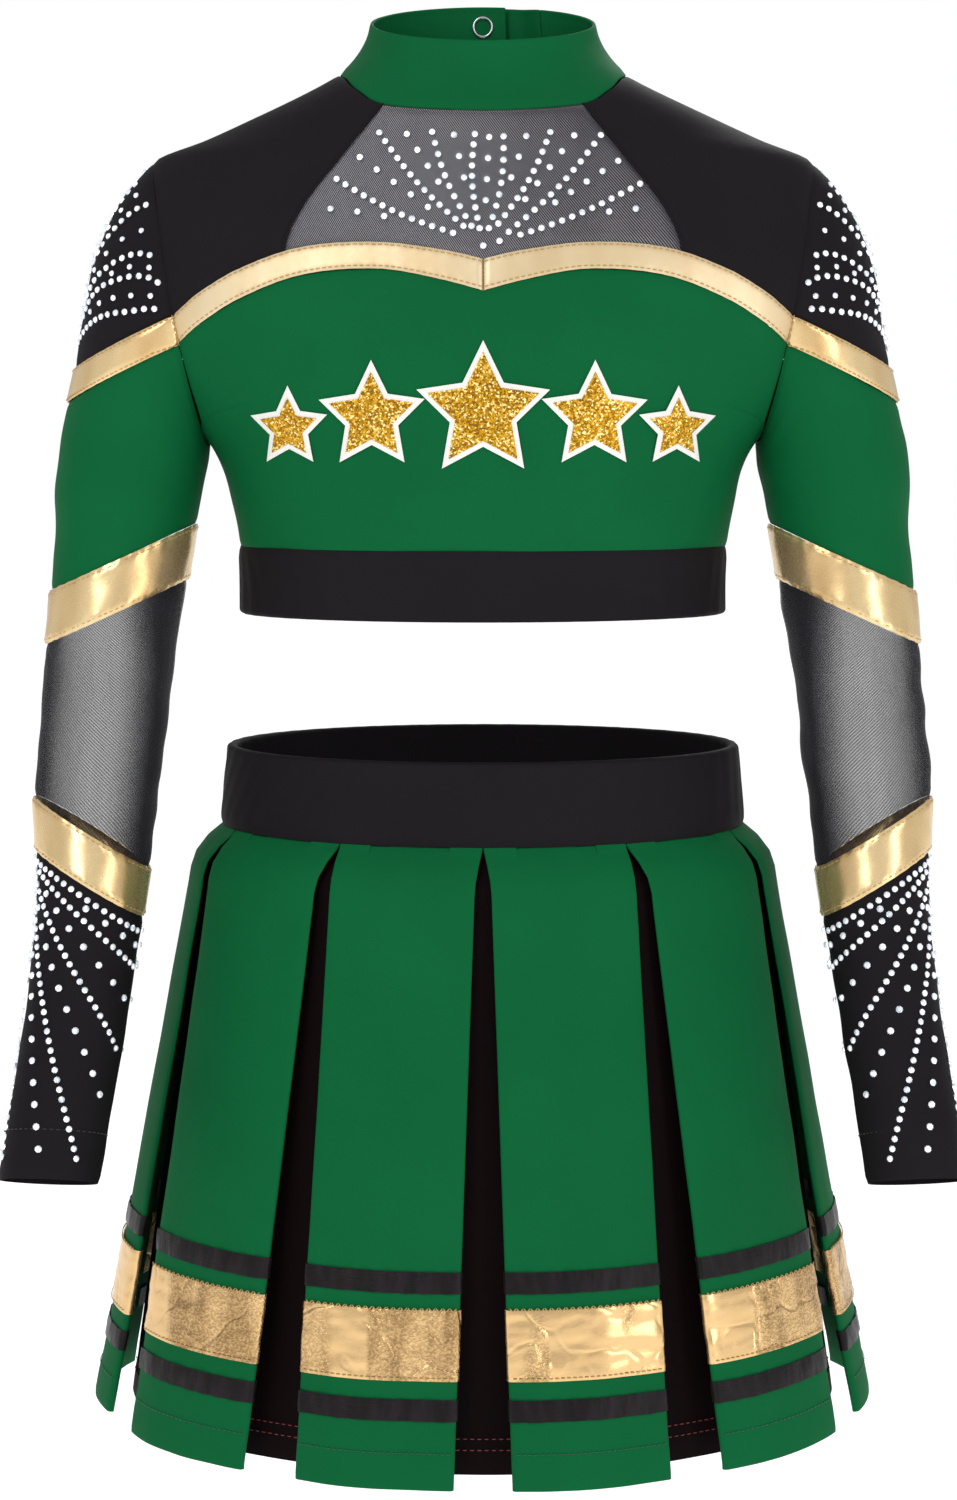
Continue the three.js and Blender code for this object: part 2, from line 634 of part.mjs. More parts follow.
/** The collar rises from the neckline and draws in quickly at its base. */
const collarSurface = {
  step: [1e-3, 1e-3],
  point: (angle, height) => {
    const turned = Math.atan2(Math.sin(angle), Math.cos(angle));
    const base = torso.point(...neckline(turned));
    const top = collarTop(angle);
    const inwards = 1 - Math.max(1 - height, 0) ** COLLAR_FLARE;
    return new THREE.Vector3(
      lerp(base.x, top.x, inwards),
      lerp(base.y, top.y, inwards),
      lerp(base.z, top.z, height),
    );
  },
  centre: (angle, height) => new THREE.Vector3(0, 0, collarSurface.point(angle, height).z),
};
const collarBase = 0.06;
const underlapEnd = Math.PI + COLLAR_UNDERLAP / COLLAR_TOP_HALF_WIDTH;

/** The overlapping end steps outwards, so that its snap meets the one on the end beneath. */
const tabSurface = {
  step: collarSurface.step,
  centre: collarSurface.centre,
  point: (angle, height) => {
    const rise = TAB_STAND_OFF * smoothstep(angle, TAB_START, TAB_RISE_END);
    return collarSurface.point(angle, height)
      .addScaledVector(surfaceNormal(collarSurface, angle, height), rise);
  },
};

function addCollar() {
  const endGap = SEAM_GAP / COLLAR_TOP_HALF_WIDTH;
  const body = ruled(
    (u) => [lerp(-underlapEnd, TAB_START - endGap, u), 1],
    (u) => [lerp(-underlapEnd, TAB_START - endGap, u), collarBase],
  );
  add('collar', 'green_knit', shell(collarSurface, body, 40, 3, { thickness: DOUBLE_CLOTH }));
  const tab = ruled(
    (u) => [lerp(TAB_START, underlapEnd, u), 1],
    (u) => [lerp(TAB_START, underlapEnd, u), collarBase * 2],
  );
  add('collar_tab', 'green_knit', shell(tabSurface, tab, 10, 3, { thickness: DOUBLE_CLOTH }));
}

/** A turned ring between two radii and two heights on the snap's axis. */
function turnedRing(innerRadius, outerRadius, low, high) {
  const section = [
    new THREE.Vector2(innerRadius, low),
    new THREE.Vector2(outerRadius, low),
    new THREE.Vector2(outerRadius, high),
    new THREE.Vector2(innerRadius, high),
    new THREE.Vector2(innerRadius, low),
  ];
  const geometry = new THREE.LatheGeometry(section, 16);
  geometry.deleteAttribute('normal');
  geometry.deleteAttribute('uv');
  return closedGeometry(looseCorners(geometry));
}

function looseCorners(geometry) {
  const position = geometry.getAttribute('position');
  return Array.from(geometry.getIndex().array, (i) => new THREE.Vector3().fromBufferAttribute(position, i));
}

function addSnap() {
  const height = 1 - SNAP_BELOW_TOP;
  const axis = new THREE.Group();
  const outwards = surfaceNormal(collarSurface, Math.PI, height);
  axis.position.copy(collarSurface.point(Math.PI, height));
  axis.quaternion.setFromUnitVectors(new THREE.Vector3(0, 1, 0), outwards);
  uniform.add(axis);
  const ringInner = SNAP_RING_RADIUS - SNAP_RING_WIRE;
  const innerFace = -DOUBLE_CLOTH - SNAP_CLEARANCE;
  const tabInside = TAB_STAND_OFF - DOUBLE_CLOTH - SNAP_CLEARANCE;
  const outerFace = TAB_STAND_OFF + SNAP_CLEARANCE;
  const studBase = SNAP_CLEARANCE + SNAP_STUD_BASE;
  const studTop = tabInside - SNAP_CLEARANCE;
  add('snap_ring', 'snap_metal',
    turnedRing(ringInner, SNAP_RING_RADIUS, innerFace - SNAP_RING_HEIGHT, innerFace), axis);
  add('snap_cap', 'snap_metal',
    turnedRing(ringInner, SNAP_RING_RADIUS, outerFace, outerFace + SNAP_RING_HEIGHT), axis);
  add('snap_socket', 'snap_metal',
    turnedRing(SNAP_STUD_RADIUS + SNAP_CLEARANCE, SNAP_SOCKET_RADIUS, studBase + SNAP_CLEARANCE, tabInside), axis);
  const stud = [
    new THREE.Vector2(0, SNAP_CLEARANCE),
    new THREE.Vector2(SNAP_SOCKET_RADIUS, SNAP_CLEARANCE),
    new THREE.Vector2(SNAP_SOCKET_RADIUS, studBase),
    new THREE.Vector2(SNAP_STUD_RADIUS, studBase),
    new THREE.Vector2(SNAP_STUD_RADIUS, studTop),
    new THREE.Vector2(0, studTop),
  ];
  add('snap_stud', 'snap_metal', closedGeometry(looseCorners(new THREE.LatheGeometry(stud, 16))), axis);
}

// ---- sleeve ---------------------------------------------------------------------------------
const armholeHeight = Math.hypot(ARMPIT_DROP - SHOULDER_DROP, SHOULDER_HALF_WIDTH - ARMPIT_HALF_WIDTH);
const armholeLean = Math.atan2(ARMPIT_DROP - SHOULDER_DROP, SHOULDER_HALF_WIDTH - ARMPIT_HALF_WIDTH);

/** The rings of the sleeve fan out from the armhole, then run down the arm; t goes from 0 to 1. */
const fallAtElbow = 0.32;
const upperFall = smooth([
  [0, 0],
  [0.125, 0.011],
  [0.25, 0.04],
  [0.375, 0.131],
  [0.5, fallAtElbow],
  [1, 1],
]);
const sleeveFall = (t) => (t < 0.5 ? upperFall(t) : lerp(fallAtElbow, 1, (t - 0.5) / 0.5));
const ringLean = smooth([
  [0, armholeLean],
  [0.125, armholeLean * 0.785],
  [0.25, armholeLean * 0.54],
  [0.375, armholeLean * 0.15],
  [0.5, SLEEVE_LEAN],
  [1, SLEEVE_LEAN],
]);
const ringWidth = smooth([
  [0, armholeHeight],
  [0.125, lerp(BICEPS_WIDTH, armholeHeight, 0.63)],
  [0.25, lerp(BICEPS_WIDTH, armholeHeight, 0.22)],
  [0.375, BICEPS_WIDTH],
  [0.5, lerp(BICEPS_WIDTH, ELBOW_WIDTH, 0.7)],
  [0.62, ELBOW_WIDTH],
  [0.75, lerp(ELBOW_WIDTH, WRIST_WIDTH, 0.75)],
  [1, WRIST_WIDTH],
]);
const ringHalfDepth = smooth([
  [0, ARMHOLE_HALF_DEPTH],
  [0.125, lerp(BICEPS_HALF_DEPTH, ARMHOLE_HALF_DEPTH, 0.92)],
  [0.25, lerp(BICEPS_HALF_DEPTH, ARMHOLE_HALF_DEPTH, 0.5)],
  [0.375, BICEPS_HALF_DEPTH],
  [0.5, lerp(BICEPS_HALF_DEPTH, WRIST_HALF_DEPTH, 0.32)],
  [1, WRIST_HALF_DEPTH],
]);
const innerX = smooth([
  [0, ARMPIT_HALF_WIDTH],
  [0.13, lerp(ARMPIT_HALF_WIDTH, WRIST_INNER_X, 0.18)],
  [0.32, lerp(ARMPIT_HALF_WIDTH, WRIST_INNER_X, 0.42)],
  [0.6, lerp(ARMPIT_HALF_WIDTH, WRIST_INNER_X, 0.67)],
  [1.3, lerp(ARMPIT_HALF_WIDTH, WRIST_INNER_X, 1.3)],
]);
const forward = smooth([
  [-0.2, 0],
  [0.13, WRIST_FORWARD * 0.06],
  [0.35, WRIST_FORWARD * 0.2],
  [0.55, WRIST_FORWARD * 0.4],
  [0.75, WRIST_FORWARD * 0.65],
  [1, WRIST_FORWARD],
  [1.25, WRIST_FORWARD * 1.35],
]);

function ringCentre(t) {
  const fall = sleeveFall(t);
  const lean = ringLean(t);
  const half = ringWidth(t) / 2;
  return new THREE.Vector3(
    innerX(fall) + half * Math.cos(lean),
    -forward(fall),
    -ARMPIT_DROP - fall * SLEEVE_DROP + half * Math.sin(lean),
  );
}

/** Point of the smooth sleeve rings; round is 0 at the outer side and rises towards the front. */
function ringPoint(round, t) {
  const lean = ringLean(t);
  const outward = new THREE.Vector3(Math.cos(lean), 0, Math.sin(lean));
  const down = ringCentre(Math.min(t + 0.01, 1)).sub(ringCentre(Math.max(t - 0.01, 0))).normalize();
  const tiltShare = smoothstep(t, 0.3, 0.6);
  const level = new THREE.Vector3(0, -1, 0);
  const square = outward.clone().cross(down).normalize();
  if (square.y > 0) square.negate();
  const front = level.lerp(square, tiltShare).normalize();
  return ringCentre(t)
    .addScaledVector(outward, ringWidth(t) / 2 * Math.cos(round))
    .addScaledVector(front, ringHalfDepth(t) * Math.sin(round));
}

/** Point of the armhole's edge, at an angle round it from the top of the shoulder to the front. */
function armholePoint(round) {
  const z = lerp(-ARMPIT_DROP, -SHOULDER_DROP, (1 + Math.cos(round)) / 2);
  const angle = reach(z);
  return torso.point(Math.sin(round) >= 0 ? angle : Math.PI - angle, z);
}

const sleeve = {
  step: [1e-3, 1e-3],
  point: (round, t) => {
    const at = Math.max(t, 0);
    const fit = armholePoint(round).sub(ringPoint(round, 0));
    return ringPoint(round, at).addScaledVector(fit, 1 - smoothstep(at, 0, 0.17));
  },
  centre: (round, t) => ringCentre(Math.max(t, 0)),
};

/** A strip's edge lies in a slanted plane: height is given where the plane meets a reference x. */
function slantedPlane(x, height, slope, tilt) {
  return (point) => height - slope * (point.x - x) - tilt * (point.y - axisY(point.z));
}

function axisY(z) {
  return -forward(clamp((-ARMPIT_DROP - z) / SLEEVE_DROP, -0.2, 1));
}

/** How far down the sleeve a slanted plane cuts it at an angle, never above the armhole's ease. */
function cutAt(plane, round) {
  const start = easeAt(round);
  const above = (t) => {
    const point = sleeve.point(round, t);
    return point.z - plane(point);
  };
  return above(start) <= 0 ? start : crossing(above, start, 1);
}

const easeMemo = new Map();

/** Where the sleeve has run clear of the armhole by the ease. */
function easeAt(round) {
  if (!easeMemo.has(round)) {
    const origin = sleeve.point(round, 0);
    const short = (t) => ARMHOLE_EASE - sleeve.point(round, t).distanceTo(origin);
    easeMemo.set(round, crossing(short, 0, 0.4));
  }
  return easeMemo.get(round);
}

const halfGap = SEAM_GAP / 2;
const upperStripPlane = (offset) => slantedPlane(
  UPPER_STRIP_INNER_X, -UPPER_STRIP_AT_INNER + offset, STRIP_SLOPE, UPPER_STRIP_TILT,
);
const lowerStripPlane = (offset) => slantedPlane(
  LOWER_STRIP_OUTER_X, -LOWER_STRIP_AT_OUTER + offset, LOWER_STRIP_SLOPE, LOWER_STRIP_TILT,
);

/** The cap's strip carries on from the ends of the front and back bindings at the armhole. */
function capStripPlane(offset) {
  const front = torso.point(...frontYokeEdge(1));
  const back = torso.point(...backYokeEdge(1));
  const tilt = (front.z - back.z) / (back.y - front.y);
  return (point) => front.z + offset - STRIP_SLOPE * (point.x - front.x) - tilt * (point.y - front.y);
}

/** The angle round the armhole at which a plane meets it, on the front (1) or the back (-1). */
function meetingAngle(plane, face) {
  const above = (round) => {
    const point = sleeve.point(face * round, easeAt(face * round));
    return point.z - plane(point);
  };
  return face * crossing(above, 0.3, Math.PI - 0.3);
}

function addSleeve(name, side) {
  const tube = (upper, lower) => ruled(
    (u) => [2 * Math.PI * u, upper(2 * Math.PI * u)],
    (u) => [2 * Math.PI * u, lower(2 * Math.PI * u)],
  );
  const corner = 0.035;
  const lens = (upper, lower, edgePlane) => {
    const front = meetingAngle(edgePlane, 1) - corner;
    const back = meetingAngle(edgePlane, -1) + corner;
    const round = (u) => lerp(back, front, (1 - Math.cos(Math.PI * u)) / 2);
    return ruled((u) => [round(u), upper(round(u))], (u) => [round(u), lower(round(u))]);
  };
  const planes = {
    capEnd: capStripPlane(halfGap),
    stripTop: capStripPlane(-halfGap),
    stripEnd: capStripPlane(-BINDING_WIDTH),
    upperTop: capStripPlane(-BINDING_WIDTH - SEAM_GAP),
    upperEnd: upperStripPlane(halfGap),
    upperStripTop: upperStripPlane(-halfGap),
    upperStripEnd: upperStripPlane(-UPPER_STRIP_WIDTH + halfGap),
    netTop: upperStripPlane(-UPPER_STRIP_WIDTH - halfGap),
    netEnd: lowerStripPlane(halfGap),
    lowerStripTop: lowerStripPlane(-halfGap),
    lowerStripEnd: lowerStripPlane(-LOWER_STRIP_WIDTH + halfGap),
    cuffTop: lowerStripPlane(-LOWER_STRIP_WIDTH - halfGap),
  };
  const at = (plane) => (round) => cutAt(plane, round);
  const pieces = [
    ['cap', 'black_knit', lens(easeAt, at(planes.capEnd), planes.capEnd), 18, 4, false],
    ['cap_strip', 'gold_foil', lens(at(planes.stripTop), at(planes.stripEnd), planes.stripEnd), 20, 1, false],
    ['upper_sleeve', 'green_knit', tube(at(planes.upperTop), at(planes.upperEnd)), 22, 5, true],
    ['upper_strip', 'gold_foil', tube(at(planes.upperStripTop), at(planes.upperStripEnd)), 22, 1, true],
    ['mesh_sleeve', 'sheer_net', tube(at(planes.netTop), at(planes.netEnd)), 22, 4, true],
    ['lower_strip', 'gold_foil', tube(at(planes.lowerStripTop), at(planes.lowerStripEnd)), 22, 1, true],
    ['cuff', 'black_knit', tube(at(planes.cuffTop), () => 1), 22, 3, true],
  ];
  for (const [piece, finish, patch, columns, rows, loop] of pieces) {
    add(`${piece}_${name}`, finish, shell(sleeve, patch, columns, rows, { loop, side }));
  }
}

// ---- skirt ----------------------------------------------------------------------------------
const waistBottom = WAIST_TOP - WAISTBAND_HEIGHT;
const hemZ = waistBottom - SKIRT_LENGTH;
const hipZ = waistBottom - HIP_DROP;

const waist = {
  step: [1e-3, 0.05],
  point: (angle, z) => {
    const flare = WAISTBAND_FLARE * (WAIST_TOP - z) / WAISTBAND_HEIGHT;
    return new THREE.Vector3(
      (WAIST_HALF_WIDTH + flare) * Math.sin(angle),
      -(WAIST_HALF_DEPTH + flare) * Math.cos(angle),
      z,
    );
  },
  centre: (angle, z) => new THREE.Vector3(0, 0, z),
};

function addWaist() {
  add('waistband', 'black_knit', ringOf(waist, foldedBand(waistBottom, WAIST_TOP, bandRoom), 36));
  const lowZ = WAIST_TOP - CLOTH - LAYER_GAP - WAIST_ELASTIC_HEIGHT;
  add('waist_elastic', 'elastic', ringOf(waist, elasticStrip(lowZ, WAIST_ELASTIC_HEIGHT), 36));
}

/** The skirt's half-width and half-depth: out over the hip in a short curve, then a straight flare. */
function skirtHalf(z, waistSize, hipSize, hemSize) {
  if (z > hipZ) {
    const share = clamp((waistBottom - z) / HIP_DROP, 0, 1);
    return lerp(waistSize, hipSize, Math.sin(share * Math.PI / 2));
  }
  return lerp(hipSize, hemSize, (hipZ - z) / (hipZ - hemZ));
}

const skirtSurface = {
  step: [1e-3, 0.05],
  point: (angle, z) => new THREE.Vector3(
    skirtHalf(z, WAIST_HALF_WIDTH + WAISTBAND_FLARE, HIP_HALF_WIDTH, HEM_HALF_WIDTH) * Math.sin(angle),
    -skirtHalf(z, WAIST_HALF_DEPTH + WAISTBAND_FLARE, HIP_HALF_DEPTH, HEM_HALF_DEPTH) * Math.cos(angle),
    z,
  ),
  centre: (angle, z) => new THREE.Vector3(0, 0, z),
};

/** Lengths along the skirt's oval at a height, from the centre front. */
const ovalMemo = new Map();
function ovalAt(z) {
  if (!ovalMemo.has(z)) {
    const steps = 720;
    const lengths = [0];
    for (let k = 0; k < steps; k += 1) {
      const from = skirtSurface.point(2 * Math.PI * k / steps, z);
      const to = skirtSurface.point(2 * Math.PI * (k + 1) / steps, z);
      lengths.push(lengths[k] + from.distanceTo(to));
    }
    ovalMemo.set(z, lengths);
  }
  return ovalMemo.get(z);
}

/** The angle that lies a share of the way round the oval, moved on by a number of mm. */
function angleAt(share, shift, z) {
  const lengths = ovalAt(z);
  const steps = lengths.length - 1;
  const girth = lengths[steps];
  const along = share * girth + shift;
  const wrapped = ((along % girth) + girth) % girth;
  let k = 0;
  while (k < steps - 1 && lengths[k + 1] < wrapped) k += 1;
  const part = (wrapped - lengths[k]) / (lengths[k + 1] - lengths[k]);
  return 2 * Math.PI * ((k + part) / steps + Math.floor(along / girth));
}

function addSkirt() {
  const panelTopWidth = ovalAt(waistBottom).at(-1) / PLEAT_COUNT - SEAM_GAP;
  const topZ = waistBottom - SEAM_GAP;
  for (let k = 0; k < PLEAT_COUNT; k += 1) {
    const panelShare = (k + 0.5) / PLEAT_COUNT;
    const panel = (u, v) => {
      const z = lerp(topZ, hemZ, v);
      const width = lerp(panelTopWidth, PANEL_HEM_WIDTH, v);
      return [angleAt(panelShare, (u - 0.5) * width, z), z];
    };
    add(`panel_${k + 1}`, 'green_knit', shell(skirtSurface, panel, 5, 6, { thickness: DOUBLE_CLOTH }));
    const insetSurface = {
      step: skirtSurface.step,
      centre: skirtSurface.centre,
      point: (angle, z) => {
        const depth = lerp(INSET_TOP_DEPTH, INSET_HEM_DEPTH, (topZ - z) / (topZ - hemZ));
        return skirtSurface.point(angle, z).addScaledVector(surfaceNormal(skirtSurface, angle, z), -depth);
      },
    };
    const inset = (u, v) => {
      const z = lerp(topZ, hemZ + INSET_SHORTER, v);
      const width = lerp(INSET_TOP_WIDTH, INSET_HEM_WIDTH, v);
      return [angleAt(k / PLEAT_COUNT, (u - 0.5) * width, z), z];
    };
    add(`inset_${k + 1}`, 'black_knit', shell(insetSurface, inset, 4, 5));
  }
}

addYokeAndShoulders();
addBackYoke();
addBindings();
addBodice();
addUnderbustBand();
addStars();
addCollar();
addSnap();
addSleeve('left', 1);
addSleeve('right', -1);
addWaist();
addSkirt();

export default uniform;
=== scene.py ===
"""Child's two-piece cheer uniform: a cropped long-sleeved top and a box-pleated skirt.

Lengths are in millimetres until a mesh is made. The front faces -Y and the wearer's left is +X.
Each cloth piece is an open sheet on a smooth surface, given its relief first and its thickness last.
"""
import json
import math
import random

import bmesh
import bpy
import numpy as np
from mathutils import Matrix, Vector, noise
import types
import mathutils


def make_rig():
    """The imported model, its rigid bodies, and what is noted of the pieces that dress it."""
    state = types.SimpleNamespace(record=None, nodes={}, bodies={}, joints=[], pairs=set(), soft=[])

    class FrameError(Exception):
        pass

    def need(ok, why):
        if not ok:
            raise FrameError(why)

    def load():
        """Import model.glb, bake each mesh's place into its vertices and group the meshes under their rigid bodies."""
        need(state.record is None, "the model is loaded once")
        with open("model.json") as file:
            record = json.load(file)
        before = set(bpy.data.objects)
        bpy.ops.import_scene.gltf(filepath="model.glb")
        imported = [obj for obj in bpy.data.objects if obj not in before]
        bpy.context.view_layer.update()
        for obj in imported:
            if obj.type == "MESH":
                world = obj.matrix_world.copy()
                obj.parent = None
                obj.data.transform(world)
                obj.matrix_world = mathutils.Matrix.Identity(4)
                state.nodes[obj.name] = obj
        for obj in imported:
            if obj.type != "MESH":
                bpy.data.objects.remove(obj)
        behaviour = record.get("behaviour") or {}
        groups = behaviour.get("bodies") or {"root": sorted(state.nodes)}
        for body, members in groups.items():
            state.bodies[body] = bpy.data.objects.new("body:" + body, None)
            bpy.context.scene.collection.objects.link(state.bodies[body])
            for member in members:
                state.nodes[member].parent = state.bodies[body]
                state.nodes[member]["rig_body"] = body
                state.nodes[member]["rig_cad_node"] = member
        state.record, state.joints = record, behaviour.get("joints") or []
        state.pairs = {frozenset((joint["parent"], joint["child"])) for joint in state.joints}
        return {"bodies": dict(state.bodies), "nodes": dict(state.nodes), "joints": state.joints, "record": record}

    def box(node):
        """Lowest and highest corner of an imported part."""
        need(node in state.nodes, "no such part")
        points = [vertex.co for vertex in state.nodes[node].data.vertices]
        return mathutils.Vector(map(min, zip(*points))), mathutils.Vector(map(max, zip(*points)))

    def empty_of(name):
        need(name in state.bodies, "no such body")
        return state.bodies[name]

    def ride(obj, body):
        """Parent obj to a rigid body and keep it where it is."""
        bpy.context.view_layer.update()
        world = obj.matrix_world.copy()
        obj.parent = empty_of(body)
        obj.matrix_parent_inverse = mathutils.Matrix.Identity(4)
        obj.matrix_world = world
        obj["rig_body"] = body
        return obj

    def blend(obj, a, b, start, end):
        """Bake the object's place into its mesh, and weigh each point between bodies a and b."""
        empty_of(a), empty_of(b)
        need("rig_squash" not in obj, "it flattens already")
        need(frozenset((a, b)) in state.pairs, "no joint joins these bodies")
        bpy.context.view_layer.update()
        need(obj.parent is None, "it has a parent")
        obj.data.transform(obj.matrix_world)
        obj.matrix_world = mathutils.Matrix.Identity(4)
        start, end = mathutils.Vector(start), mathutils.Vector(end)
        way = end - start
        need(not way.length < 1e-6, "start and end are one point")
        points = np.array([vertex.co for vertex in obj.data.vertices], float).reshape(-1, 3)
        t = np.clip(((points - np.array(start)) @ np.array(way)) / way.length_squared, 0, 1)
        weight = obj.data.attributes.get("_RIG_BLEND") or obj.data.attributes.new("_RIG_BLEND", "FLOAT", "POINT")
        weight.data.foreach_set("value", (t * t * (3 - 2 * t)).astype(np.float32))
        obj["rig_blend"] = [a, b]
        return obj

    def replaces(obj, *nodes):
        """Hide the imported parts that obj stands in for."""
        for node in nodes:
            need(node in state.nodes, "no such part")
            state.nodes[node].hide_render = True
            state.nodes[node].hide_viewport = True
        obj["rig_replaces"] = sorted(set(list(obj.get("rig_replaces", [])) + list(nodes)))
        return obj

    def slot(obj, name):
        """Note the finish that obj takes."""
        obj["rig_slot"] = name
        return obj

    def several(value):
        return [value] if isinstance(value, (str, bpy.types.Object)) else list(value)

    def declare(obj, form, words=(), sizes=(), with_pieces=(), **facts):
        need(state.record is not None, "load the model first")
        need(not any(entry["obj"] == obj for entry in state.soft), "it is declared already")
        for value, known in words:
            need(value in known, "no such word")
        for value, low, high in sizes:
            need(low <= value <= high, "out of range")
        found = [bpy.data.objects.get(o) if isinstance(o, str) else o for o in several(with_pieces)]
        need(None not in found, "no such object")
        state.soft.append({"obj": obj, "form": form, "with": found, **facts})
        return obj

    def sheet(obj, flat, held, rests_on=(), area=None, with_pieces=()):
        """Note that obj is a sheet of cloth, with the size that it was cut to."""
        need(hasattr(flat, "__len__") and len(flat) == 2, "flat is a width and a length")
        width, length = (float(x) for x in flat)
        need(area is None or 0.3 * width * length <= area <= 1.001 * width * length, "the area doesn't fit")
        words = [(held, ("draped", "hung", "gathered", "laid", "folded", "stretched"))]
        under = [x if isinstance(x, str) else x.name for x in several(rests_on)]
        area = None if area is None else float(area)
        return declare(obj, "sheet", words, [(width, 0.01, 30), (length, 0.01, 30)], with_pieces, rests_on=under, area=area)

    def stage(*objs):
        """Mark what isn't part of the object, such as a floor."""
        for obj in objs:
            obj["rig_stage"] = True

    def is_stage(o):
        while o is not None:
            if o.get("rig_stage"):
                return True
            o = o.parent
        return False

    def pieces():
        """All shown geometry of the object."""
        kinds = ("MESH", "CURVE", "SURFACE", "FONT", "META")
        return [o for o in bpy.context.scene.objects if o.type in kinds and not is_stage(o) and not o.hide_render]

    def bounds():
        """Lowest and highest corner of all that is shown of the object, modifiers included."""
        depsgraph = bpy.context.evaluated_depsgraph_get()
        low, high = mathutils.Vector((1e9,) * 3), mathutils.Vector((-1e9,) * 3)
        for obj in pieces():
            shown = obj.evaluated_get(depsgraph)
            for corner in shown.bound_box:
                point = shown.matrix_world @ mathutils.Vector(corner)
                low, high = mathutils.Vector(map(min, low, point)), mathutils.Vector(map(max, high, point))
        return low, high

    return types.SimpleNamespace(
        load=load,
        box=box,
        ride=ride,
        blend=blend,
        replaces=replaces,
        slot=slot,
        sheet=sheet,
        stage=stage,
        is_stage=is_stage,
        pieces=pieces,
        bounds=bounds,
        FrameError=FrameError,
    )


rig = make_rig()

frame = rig.load()
cad_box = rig.bounds()

MM = 0.001


def lowest(node):
    return [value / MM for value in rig.box(node)[0]]


def highest(node):
    return [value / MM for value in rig.box(node)[1]]


# ---- sizes of the cut, in millimetres ---------------------------------------------------------
CLOTH = 0.8
DOUBLE_CLOTH = 1.6
NET = 0.6

NECK_HALF_WIDTH = 66
SHOULDER_HALF_WIDTH = 150
SHOULDER_DROP = 38
ARMPIT_HALF_WIDTH = 127
ARMPIT_DROP = 165
CHEST_HALF_WIDTH = 178
BAND_HALF_WIDTH = 113
CHEST_HALF_DEPTH = 80
NECK_HALF_DEPTH = 51
BAND_HALF_DEPTH = 72
BAND_BOTTOM = lowest("underbust_band")[2]
BAND_TOP = highest("underbust_band")[2]
BAND_FOLD = 2.3

NECK_FRONT_DROP = 22
NECK_BACK_RISE = 6
COLLAR_TOP_HALF_WIDTH = 51.5
COLLAR_TOP_HALF_DEPTH = 44
COLLAR_FRONT_TOP = 10
COLLAR_BACK_TOP = highest("collar")[2]
COLLAR_FLARE = 1.9
COLLAR_UNDERLAP = 11
TAB_START = math.radians(148)
TAB_RISE_END = math.radians(162)
TAB_STAND_OFF = 4
COLLAR_BASE = 0.02
SNAP_HEIGHT = 0.72
SNAP_RING_RADIUS = 5

YOKE_HALF_WIDTH_AT_NECK = 44
YOKE_HALF_WIDTH_AT_BINDING = 87
SEAM_TAPE = 1.2
LINING_BEHIND = 1.0
BACK_YOKE_NECK_SHARE = 0.78
SHOULDER_SEAM_SHARE = 0.36
KEYHOLE_EDGE_SHARE = 0.68
BINDING_AT_ARMHOLE = 108
BINDING_WIDTH = 13.5
BACK_BINDING_AT_CENTRE = 92
KEYHOLE_DEPTH = 62
KEYHOLE_HALF_WIDTH = 17
KEYHOLE_NECK_HALF_WIDTH = 6
KEYHOLE_BINDING_WIDTH = 4

STAR_RADII = {"far_right": 15, "right": 21, "centre": 27, "left": 21, "far_left": 15}
STAR_INNER_SHARE = 0.5
STAR_OUTLINE = 2.4
STAR_INSET = 1.3

SLEEVE_DROP = 328
WRIST_INNER_X = 166.5
BICEPS_WIDTH = 64.8
ELBOW_WIDTH = 56.5
WRIST_WIDTH = 45
ARMHOLE_HALF_DEPTH = 47
BICEPS_HALF_DEPTH = 35
WRIST_HALF_DEPTH = 22.5
WRIST_FORWARD = 87
UPPER_STRIP_AT_INNER = 202
UPPER_STRIP_WIDTH = 23.5
LOWER_STRIP_AT_OUTER = 327
LOWER_STRIP_WIDTH = 23
STRIP_SLOPE = 0.455
LOWER_STRIP_SLOPE = -0.6
UPPER_STRIP_TILT = -0.02
LOWER_STRIP_TILT = 0.15
UPPER_STRIP_X = 132
LOWER_STRIP_X = 205
ARMHOLE_BLEND = 28
ELBOW_TOP = -262
ELBOW_BOTTOM = -320

WAIST_TOP = highest("waistband")[2]
WAIST_BOTTOM = lowest("waistband")[2]
WAIST_HALF_WIDTH = 119.5
WAIST_HALF_DEPTH = 78
WAISTBAND_FLARE = 4
HIP_HALF_WIDTH = 138
HIP_HALF_DEPTH = 93
HIP_DROP = 22
HEM_HALF_WIDTH = 184
HEM_HALF_DEPTH = 124
HEM = lowest("panel_1")[2]
PLEAT_COUNT = 10
PANEL_HEM_WIDTH = 72
PANEL_UNDERLAY = 14
INSET_TOP_WIDTH = 46
INSET_HEM_WIDTH = 84
INSET_TOP_DEPTH = 3
INSET_HEM_DEPTH = 12
INSET_CLEARANCE = 1.4
INSET_HEM = lowest("inset_1")[2]
HEM_ALLOWANCE = 16
UPPER_RIBBON = (95, 85.5)
GOLD_BAND = (78.5, 47.5)
LOWER_RIBBON = (39.5, 30)
ZIGZAG_HEIGHT = 78.8
GOLD_EDGE_HEIGHT = 48.9
INSET_LOWER_STITCH = 11

STITCH_PITCH = 2.7
JOIN_PITCH = 1.7
CUFF_PITCH = 2.9
HEM_PITCH = 2.6
ZIGZAG_PITCH = 1.5
ZIGZAG_SLOPE = math.radians(50)
INSET_PITCH = 3.4


# ---- curves -----------------------------------------------------------------------------------
def clamp(x, low, high):
    return min(max(x, low), high)


def lerp(a, b, share):
    return a + (b - a) * share


